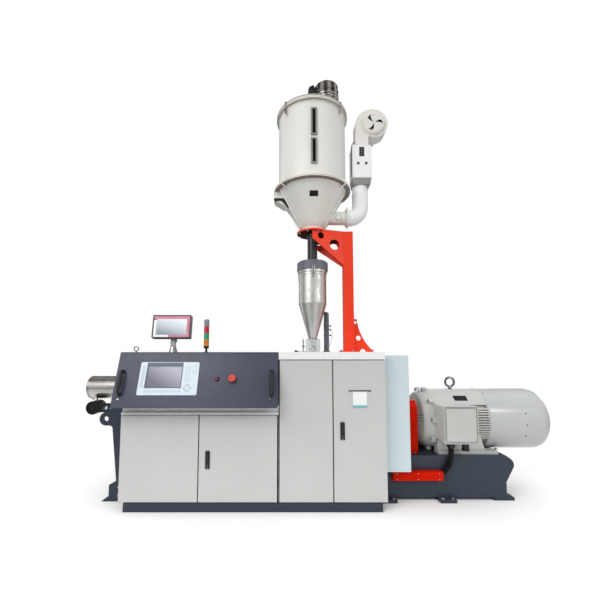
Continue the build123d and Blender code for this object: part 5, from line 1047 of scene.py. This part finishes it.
# Cream powder coat: warm white and satin, with a long soft light down the round shell.
cream = powder_coat("cream_powder_coat_on_sheet", "ebe9e3", "e4e2db", 0.34, 3.0, 0.04)
dress(["dryer_body", "dryer_cone"], cream, 0)
dress(["dryer_lid", "clean_out_port"], cream, 2.0)
shell_low, shell_high = span("dryer_body")
cone_z = span("dryer_cone")[0].z
shell_r, outlet_r, cone_height = 395.0, 134.0, 436.0
ring_z = shell_low.z
roof_z = span("dryer_lid")[1].z
# Smoked glass: black with a clear mirror of the room. Its frames are enamelled in a satin mid grey.
smoked = finished("smoked_sight_glass", "0c0c0e", 0.08, gloss=(0.05, 0.14, 50.0))
dress(["sight_glasses"], smoked, 0)
grey_frame = powder_coat("grey_enamel_on_glass_frame", "959692", "8c8e8a", 0.4, 2.0, 0.03)
frames, panes, frame_screws = [], [], []
front = -shell_r - 12.0
for lift, height in ((148.0, 289.0), (471.0, 311.0)):
    z0, z1 = ring_z + lift, ring_z + lift + height
    for x0, x1 in ((-31.0, -17.0), (17.0, 31.0)):
        frames.append(brick((x0, front - 4.0, z0 - 1.0), (x1, front + 14.0, z1 + 1.0)))
    for z in (z0 - 1.0, z1 - 15.0):
        frames.append(brick((-17.0, front - 4.0, z), (17.0, front + 14.0, z + 16.0)))
    panes.append(brick((-17.5, front - 1.0, z0 + 14.0), (17.5, front + 12.0, z1 - 14.0)))
    frame_screws += screws_at((-24.0, 24.0), (front - 4.0,), [z0 + 12.0 + (height - 24.0) * i / 3 for i in range(4)],
                              OUT, 4.0, socket_screw)
piece("sight_glass_frames", grey_frame, frames, edge_mm=1.0)
piece("sight_glass_panes", smoked, panes, edge_mm=0.6)
piece("sight_glass_screws", zinc, frame_screws)
rims = [hoop((0, 0, z), r, rod, 128) for z, r, rod in (
    (shell_high.z - 14.0, 417.0, 5.0), (roof_z - 2.0, 415.0, 4.0), (ring_z + 9.0, 449.0, 2.5),
    (ring_z - 9.0, 449.0, 2.5), (ring_z + 40.0, shell_r + 0.5, 3.0))]
piece("dryer_rolled_edges", cream, rims)
# Painted shade: dull warm brown lines at the lid's edge and at the ring, and a brown ring under the flange, stand for
# the shadow lines and the shaded underside there.
brown = finished("painted_shade_at_dryer_edges", "857870", 0.7, grain=(0.03, 2.0))
edge_strips = [turned(washer(440.0, 450.5, 0, 2.4), (0, 0, ring_z - 1.2), count=128),
               turned(washer(410.0, 417.8, 0, 3.0), (0, 0, shell_high.z - 1.5), count=128)]
edge_strips += [hoop((0, 0, z), 417.0, 3.6, 128) for z in (shell_high.z - 20.0, roof_z - 6.0)]
edge_strips.append(turned(washer(396.0, 447.0, 0, 2.4), (0, 0, ring_z - 11.6), count=128))
piece("dryer_painted_edge_shade", brown, edge_strips)
latches = []
for angle in (-137, -43, 43, 137):
    latches += toggle_latch(shell_r + 24.0, angle, shell_high.z - 104.0, roof_z + 4.0, 1.15)
    latches.append(moved(brick((shell_r - 2.0, -11.0, shell_high.z - 108.0),
                               (shell_r + 24.0, 11.0, shell_high.z - 64.0)), spun(angle)))
piece("dryer_lid_latches", polished, latches, edge_mm=0.6)
# Straps, cone strips and cover: flat bar in a cleaner white coat than the shell's.
strip_white = powder_coat("white_powder_coat_on_strip", "f4f3ef", "eeede9", 0.34, 3.0, 0.03)
ring_bolts, clamps = [], []
for x, y in around(16, 430.0, 11.25):
    for up in (1, -1):
        ring_bolts += bolt((x, y, ring_z + 9.0 * up), (0, 0, up), 9.0)
strap = [(398.0, 60.0), (404.0, 60.0), (460.0, 14.0), (460.0, -16.0), (372.0, -52.0), (368.0, -46.0),
         (452.0, -12.0), (452.0, 12.0)]
wire_loop = [(shell_r + out, y, ring_z + z) for out, y, z in (
    (3.0, -7.0, 56.0), (5.0, -7.0, 92.0), (5.0, 7.0, 92.0), (3.0, 7.0, 56.0))]
for angle in (-142, -38, 38, 142):
    clamps.append(moved(pressed([(r, ring_z + z) for r, z in strap], -9.0, 9.0), spun(angle)))
    clamps.append(moved(tube(wire_loop, 2.5, 8), spun(angle)))
piece("dryer_ring_bolts", zinc, ring_bolts)
piece("dryer_ring_clamps", strip_white, clamps)
along_cone = [(outlet_r + 8.0, cone_z + 48.0), (shell_r - 8.0, ring_z - 24.0), (shell_r + 14.0, ring_z - 24.0),
              (outlet_r + 26.0, cone_z + 44.0)]
strips = [moved(pressed(along_cone, -5.0, 5.0), spun(angle)) for angle in (-158, -22, 22, 158)]
piece("dryer_cone_strips", strip_white, strips, edge_mm=1.0)
BADGE_Z = 3240.0
badge_r = outlet_r + (BADGE_Z - cone_z - 37.0) * (shell_r - outlet_r) / cone_height
slope = atan2(shell_r - outlet_r, cone_height)
on_cone = Matrix.Translation((0, -badge_r + 2.0, BADGE_Z)) @ Matrix.Rotation(slope, 4, "X")
piece("cone_bare_plate", black_enamel, [moved(brick((-47.0, -3.0, -30.0), (47.0, 0.5, 30.0)), on_cone)], edge_mm=4.0)
port_low, port_high = span("clean_out_port")
cover_z = port_high.z - 84.0
cover = [brick((port_low.x - 8.0, port_low.y - 6.0, cover_z), (port_low.x + 108.0, port_high.y + 6.0, cover_z + 40.0))]
piece("clean_out_cover", strip_white, cover, edge_mm=3.0)
shape = [(-2.0, 0), (104.0, 0), (176.0, -92.0), (156.0, -110.0), (80.0, -32.0), (-2.0, -32.0)]
dark_parts = [pressed([(port_low.x + x, cover_z + z) for x, z in shape], port_low.y - 3.0, port_low.y + 24.0)]
piece("clean_out_latch", black_enamel, dark_parts, edge_mm=1.0)

# Vacuum loader: polished stainless can, a near mirror with faint level lines, with two clamp bands. Its motor is
# under a black cap at the left side.
mirror_steel = brushed("polished_stainless_can", "c8c4bf", "a9a49f", (0.03, 0.03, 1), 0.14, 0.6, 0.01)
dress(["vacuum_loader"], mirror_steel, 1.0)
dress(["loader_cap"], black_plastic, 1.5)
can_low, can_high = span("vacuum_loader")
can_x, can_y = (can_low.x + can_high.x) / 2, (can_low.y + can_high.y) / 2
can_r = 141.0
fittings, fastenings = [], []
for angle in (-75, 45, 165):
    for part in toggle_latch(can_r + 8.0, angle, roof_z + 187.0, roof_z + 265.0, 1.1):
        fittings.append(moved(part, Matrix.Translation((can_x, can_y, 0))))
fittings += [hoop((can_x, can_y, roof_z + lift), can_r + 6.0, 3.5, 72) for lift in (222.0, 256.0)]
for near, far in zip(around(12, can_r - 4.0, 15), around(12, can_r + 14.0, 15)):
    fastenings += bolt((can_x + near[0], can_y + near[1], can_high.z - 8.0), UP, 6.0)
    fastenings += bolt((can_x + far[0], can_y + far[1], roof_z + 6.0), UP, 7.0)
fittings.append(turned([(0, can_r), (0, can_r + 26.0), (6.0, can_r + 26.0), (7.0, can_r)],
                       (can_x, can_y, roof_z), count=64))
piece("loader_fittings", polished, fittings, edge_mm=0.4)
piece("loader_screws", zinc, fastenings)
cap_low, cap_high = span("loader_cap")
cap_z = (cap_low.z + cap_high.z) / 2
cap_root = (cap_low.x + 62.0, can_y, cap_z + 24.0)
cap_parts = [turned([(0, 0), (0, 80.0), (30.0, 82.0), (52.0, 76.0), (66.0, 58.0), (72.0, 30.0), (73.0, 0)],
                    cap_root, LEFT, 48)]
cap_parts += [moved(brick((-30.0, 78.0, -3.0), (0.0, 86.0, 3.0)), spun(22.5 * k, "X", cap_root)) for k in range(16)]
piece("loader_motor_cap", black_plastic, cap_parts, edge_mm=0.8)

# Hot air
# White-clad elbow and riser from the cone's stub up to the heater box, with the blower on top of it. The
# cladding is thin sheet in a bright white enamel, rolled in segments that are beaded together.
white_clad = powder_coat("white_enamel_on_cladding_sheet", "f6f7f8", "f0f1f2", 0.3, 5.0, 0.08)
dress(["hot_air_pipe"], white_clad, 0)
dress(["hot_air_inlet"], cream, 0.8)
dress(["heater_box"], white_clad, 2.0)
dress(["blower", "blower_inlet"], cream, 2.0)
inlet_low, inlet_high = span("hot_air_inlet")
air_z = (inlet_low.z + inlet_high.z) / 2
stub_bolts = []
for y, z in around(6, 96.0, 30):
    stub_bolts += bolt((inlet_high.x - 30.0, y, air_z + z), LEFT, 8.0)
for side in (-1, 1):
    clamp_place = (inlet_high.x - 10.0, 0, air_z + side * 102.0)
    stub_bolts += bolt(clamp_place, (0, 0, side), 12.0)
    stub_bolts.append(turned([(0, 5.0), (34.0, 5.0), (35.0, 0)], clamp_place, (0, 0, side), 12))
piece("hot_air_clamp_bolts", zinc, stub_bolts)
# Thermometer: polished case on the stub, with a white enamelled dial, clean and glossy, and a black scale.
DIAL_AT, SCALE_Y = Vector((298.0, -78.0, air_z - 18.0)), -96.4
scale_at = (DIAL_AT.x, SCALE_Y, DIAL_AT.z)
case_profile = [(-6.0, 8.0), (4.0, 8.0), (4.0, 28.0), (16.0, 31.0), (20.0, 31.0), (20.0, 27.0), (16.5, 27.0), (16.5, 0)]
piece("thermometer_case", polished, [turned(case_profile, DIAL_AT, OUT, 40)])
dial_white = finished("white_enamelled_dial", "f3f3f0", 0.25, gloss=(0.2, 0.3, 8.0))
piece("thermometer_dial", dial_white, [turned([(16.0, 26.8), (18.0, 26.8)], DIAL_AT, OUT, 40)])
ticks = [moved(brick((19.0, -0.5, -0.7), (25.0, 0.5, 0.7)), spun(27 * k - 225, "Y", scale_at)) for k in range(11)]
ticks.append(moved(brick((-6.0, -1.2, -1.0), (21.0, -0.4, 1.0)), spun(-130, "Y", scale_at)))
piece("thermometer_scale", black_enamel, ticks)
riser_x, riser_r, bend_r = 570.0, 92.0, 132.0
pipe_top = span("hot_air_pipe")[1].z
seams = []
for turn_deg in (0, 22.5, 45, 67.5, 90):
    angle = radians(turn_deg)
    centre = Vector((riser_x - bend_r + bend_r * sin(angle), 0, air_z + bend_r - bend_r * cos(angle)))
    axis = Vector((cos(angle), 0, sin(angle)))
    seams.append(turned(washer(riser_r - 1.0, riser_r + 1.6, -4.0, 4.0), centre, axis, 64))
for z in (air_z + bend_r + 150.0, pipe_top - 12.0):
    seams.append(turned(washer(riser_r - 1.0, riser_r + 2.2, -5.0, 5.0), (riser_x, 0, z), UP, 64))
piece("hot_air_pipe_seams", white_clad, seams, edge_mm=0.5)

# Heater box: folded sheet with a flat door and a tapered skirt, whose warm grey is painted shade for the shadow under
# the box. In the door sit the controller, of grey moulded plastic with eight smoked windows, and two buttons in black
# collars.
heater_low, heater_high = span("heater_box")
face_y = heater_low.y
door = [brick((heater_low.x + 8.0, face_y - 3.0, heater_low.z + 10.0),
              (heater_high.x - 8.0, face_y + 0.5, heater_high.z - 8.0))]
piece("heater_box_door", white_clad, door, edge_mm=1.2)
# Painted shade: the skirt's warm grey stands for the shadow under the heater box.
shade_grey = powder_coat("painted_shade_on_heater_skirt", "8d8c86", "9a9992", 0.45, 2.5, 0.04)
skirt = [Vector((x, y, z)) for z, inset in ((heater_low.z - 72.0, 13.0), (heater_low.z + 0.5, 4.0))
         for x, y in ((heater_low.x + inset, heater_low.y + inset), (heater_high.x - inset, heater_low.y + inset),
                      (heater_high.x - inset, heater_high.y - inset), (heater_low.x + inset, heater_high.y - inset))]
piece("heater_box_skirt", shade_grey, [(skirt, TAPERED)], edge_mm=1.5)
CONTROLLER_X, CONTROLLER_Z, CONTROLLER_WIDE, CONTROLLER_TALL = 545.0, 3779.0, 60.0, 114.0
SWITCH_Z, STOP_X, START_X = 3696.0, 532.0, 626.0
panel_grey = finished("grey_moulded_controller_front", "868a92", 0.4, grain=(0.02, 1.2, 2.0))
piece("heater_controller", panel_grey,
      [brick((CONTROLLER_X, face_y - 7.0, CONTROLLER_Z),
             (CONTROLLER_X + CONTROLLER_WIDE, face_y - 2.5, CONTROLLER_Z + CONTROLLER_TALL))], edge_mm=1.5)
window = finished("smoked_display_window", "0d0e12", 0.12, gloss=(0.1, 0.18, 20.0))
window_places = [(CONTROLLER_X + 3.0 + c * 29.0, CONTROLLER_Z + 3.0 + r * 28.0) for c in range(2) for r in range(4)]
piece("heater_controller_windows", window,
      [brick((x, face_y - 8.2, z), (x + 25.0, face_y - 6.8, z + 24.0)) for x, z in window_places], edge_mm=0.5)
collar = [(0, 15.0), (4.0, 15.0), (5.0, 13.5), (5.0, 10.0)]
piece("heater_switch_collars", black_plastic,
      [turned(collar, (x, face_y - 3.0, SWITCH_Z), OUT, 32) for x in (STOP_X, START_X)])
teal_cap = finished("dark_teal_moulded_button", "2c4a55", 0.3, gloss=(0.25, 0.4, 9.0))
cap_profile = [(4.0, 12.0), (11.0, 11.5), (14.0, 8.0), (14.5, 0)]
for name, cap_finish, x in (("heater_stop_button", crimson, STOP_X), ("heater_start_button", teal_cap, START_X)):
    piece(name, cap_finish, [turned(cap_profile, (x, face_y - 3.0, SWITCH_Z), OUT, 32)])
# Power lead in a wrapped black sleeve, up the box's left side and over to the blower's motor.
lead_x, lead_y, lead_z = heater_low.x - 7.0, face_y + 8.0, heater_low.z + 60.0
lead = [(heater_low.x - 4.0, face_y + 10.0, heater_low.z + 8.0)]
lead += [(lead_x, lead_y, lead_z + 44.0 * i) for i in range(8)]
lead += [(heater_low.x + 4.0, face_y + 12.0, heater_high.z + 20.0),
         (heater_low.x + 34.0, face_y + 14.0, heater_high.z + 52.0)]
wrapped = [Vector(first).lerp(Vector(second), k / 6) for first, second in zip(lead, lead[1:]) for k in range(6)]
piece("blower_power_lead", black_plastic, [tube(wrapped, [5.5 if i % 2 else 4.2 for i in range(len(wrapped))], 8)])

# Blower: cast scroll on a flange over the heater, with a domed inlet cap whose three slots are swept like fan blades.
# Behind the slots the impeller shows, a real part coloured near-black as painted shade for the dark inside of the
# scroll, and the slot walls are lined with the same painted shade; a finned motor stands at the back.
blower_low, blower_high = span("blower")
cap_in_low, cap_in_high = span("blower_inlet")
eye_x, eye_z = (cap_in_low.x + cap_in_high.x) / 2, (cap_in_low.z + cap_in_high.z) / 2
scroll_front = cap_in_high.y
FLANGE_TOP, SCROLL_DEPTH = 12.0, 158.0
# Painted shade: the impeller and the slot liners are a matt near-black that stands for the shade inside the blower, so
# that nothing shows but the edges of the blades.
matt_black = finished("painted_shade_black_inside_blower", "070708", 0.9, grain=(0.05, 2.0),
                      sockets={"Specular IOR Level": 0.1})
back_plate = turned([(0, 0), (0, 104.0), (6.0, 107.0), (9.0, 107.0), (9.0, 0)],
                    (eye_x, cap_in_low.y + 6.5, eye_z), BACK, 48)
impeller_eye = (eye_x, scroll_front + 2.0, eye_z)
piece("blower_impeller", matt_black, [back_plate] + [
    moved(brick((30.0, -1.5, -2.0), (88.0, 1.5, 26.0)), spun(30 * k, "Y", impeller_eye) @ spun(35, "X"))
    for k in range(12)])
outlet_left, flange_z = blower_low.x, heater_high.z + FLANGE_TOP
flange_parts = [brick((outlet_left - 16.0, blower_low.y - 2.0, heater_high.z),
                      (outlet_left + 166.0, scroll_front + SCROLL_DEPTH, flange_z))]
piece("blower_outlet_flange", cream, flange_parts, edge_mm=2.0)
scroll_screws = []
for x, z in around(7, 139.0, -70, 38):
    scroll_screws += bolt((eye_x + x, scroll_front, eye_z + z), OUT, 5.0)
for x, z in around(6, 112.0, 30):
    scroll_screws += socket_screw((eye_x + x, scroll_front - 26.0, eye_z + z), OUT, 5.0)
scroll_screws += screws_at((outlet_left - 6.0, outlet_left + 156.0), (scroll_front + 20.0, scroll_front + 140.0),
                           (flange_z,), UP, 7.0)
piece("blower_screws", zinc, scroll_screws)
SLOT_R = 98.0
blade = [(0.11, 20), (0.35, 26), (0.65, 28), (0.88, 23), (1.0, 17), (1.03, 10), (1.04, 3), (1.03, -5), (1.0, -12),
         (0.85, -3), (0.68, 3), (0.4, 8)]
# Painted shade: black liners on the slot walls darken them as the shade inside the cap.
lips = pressed([(SLOT_R * share * cos(radians(a)), SLOT_R * share * sin(radians(a))) for share, a in blade], -0.7, 6.5)
cap_front = (eye_x, cap_in_low.y, eye_z)
piece("blower_slot_painted_shade_liners", matt_black, [moved(lips, spun(120 * k, "Y", cap_front)) for k in range(3)])
piece("blower_inlet_ring", cream, [hoop((eye_x, cap_in_low.y + 0.5, eye_z), r, rod, steps, "XZ")
                                   for r, rod, steps in ((93.0, 2.6, 72), (15.0, 2.2, 32))])
fin_root = (eye_x, scroll_front + SCROLL_DEPTH, eye_z)
motor_fins = [moved(brick((86.0, 0, -2.0), (97.0, 120.0, 2.0)), spun(15 * k, "Y", fin_root)) for k in range(24)]
motor_fins.append(turned([(0, 94.0), (34.0, 94.0), (42.0, 86.0), (42.0, 0)],
                         (eye_x, blower_high.y - 40.0, eye_z), BACK, 48))
piece("blower_motor_fins", motor_cast, motor_fins, edge_mm=0.6)


# Studio
# A pale paper floor that fades out round the machine, under even white air. Two soft lamps stand at the left and
# right of the photographer. The air is brightest overhead and dim below. The metals mirror it with soft upright
# bands, as from panels round the room.
floor_mesh = bpy.data.meshes.new("studio_floor")
FLOOR_X, FLOOR_Y = 8, 6
floor_mesh.from_pydata([(x, y, 0) for x, y in ((-FLOOR_X, -FLOOR_Y), (FLOOR_X, -FLOOR_Y), (FLOOR_X, FLOOR_Y),
                                               (-FLOOR_X, FLOOR_Y))], [], [(0, 1, 2, 3)])
floor = bpy.data.objects.new("studio_floor", floor_mesh)
bpy.context.scene.collection.objects.link(floor)
floor_paper, floor_tree, floor_shader = blank("studio_paper", "fafafa", 0.9)
floor_shader.inputs["Specular IOR Level"].default_value = 0.1
spot_on_floor = put(floor_tree, "ShaderNodeMapping", {"Scale": (0.25, 0.42, 1.0)},
                    {"Vector": put(floor_tree, "ShaderNodeTexCoord").outputs["Object"]}).outputs[0]
from_middle = put(floor_tree, "ShaderNodeVectorMath", links={0: spot_on_floor}, operation="LENGTH").outputs["Value"]
faded_edge = put(floor_tree, "ShaderNodeMapRange", {"From Min": 0.8, "From Max": 1.25, "To Min": 1.0, "To Max": 0.0},
                 {"Value": from_middle}, interpolation_type="SMOOTHSTEP").outputs["Result"]
floor_tree.links.new(faded_edge, floor_shader.inputs["Alpha"])
floor_mesh.materials.append(floor_paper)

bpy.context.scene.view_settings.view_transform = "Standard"
world = bpy.data.worlds.new("studio_air")
bpy.context.scene.world = world
world.use_nodes = True
air = world.node_tree
way = put(air, "ShaderNodeSeparateXYZ", links={"Vector": put(air, "ShaderNodeTexCoord").outputs["Generated"]})
light_path = put(air, "ShaderNodeLightPath")
overhead = put(air, "ShaderNodeMapRange", {"From Min": -0.1, "From Max": 0.8, "To Min": 0.22, "To Max": 1.22},
               {"Value": way.outputs["Z"]}, interpolation_type="SMOOTHSTEP").outputs["Result"]
bearing = put(air, "ShaderNodeMath", links={0: way.outputs["X"], 1: way.outputs["Y"]}, operation="ARCTAN2").outputs[0]
# Five waves of light and shade round the room, which fade out towards the floor and the ceiling.
waves = put(air, "ShaderNodeMath", {1: 5.0, 2: 0.6}, {0: bearing}, operation="MULTIPLY_ADD").outputs[0]
bands = put(air, "ShaderNodeMapRange", {"From Min": -0.5, "From Max": 0.7, "To Min": 0.12, "To Max": 1.25},
            {"Value": put(air, "ShaderNodeMath", links={0: waves}, operation="SINE").outputs[0]},
            interpolation_type="SMOOTHSTEP").outputs["Result"]
height = put(air, "ShaderNodeMath", links={0: way.outputs["Z"]}, operation="ABSOLUTE").outputs[0]
level = put(air, "ShaderNodeMapRange", {"From Min": 0.3, "From Max": 0.75, "To Min": 1.0, "To Max": 0.3},
            {"Value": height}, interpolation_type="SMOOTHSTEP").outputs["Result"]
panels = put(air, "ShaderNodeMath", links={0: bands, 1: level}, operation="MULTIPLY").outputs[0]
# Mirrors meet the panels, the camera sees plain white, and all other light is the overhead air.
mirrored = put(air, "ShaderNodeMix", links={0: light_path.outputs["Is Glossy Ray"], 2: overhead, 3: panels}).outputs[0]
seen = put(air, "ShaderNodeMix", {3: 1.0}, {0: light_path.outputs["Is Camera Ray"], 2: mirrored})
air.links.new(seen.outputs[0], air.nodes["Background"].inputs["Strength"])
air.nodes["Background"].inputs["Color"].default_value = linear("ffffff")
for name, spot, target, power, size in (("key", (-3000, -4200, 4600), (0, 0, 1600), 118.0, 3.0),
                                        ("fill", (3800, -3400, 3200), (300, 0, 1800), 40.0, 1.0)):
    lamp_data = bpy.data.lights.new(name, "AREA")
    lamp_data.energy = power
    lamp_data.size = size
    lamp = bpy.data.objects.new(name, lamp_data)
    bpy.context.scene.collection.objects.link(lamp)
    lamp.location = place(*spot)
    lamp.rotation_euler = (place(*target) - lamp.location).to_track_quat("-Z", "Y").to_euler()
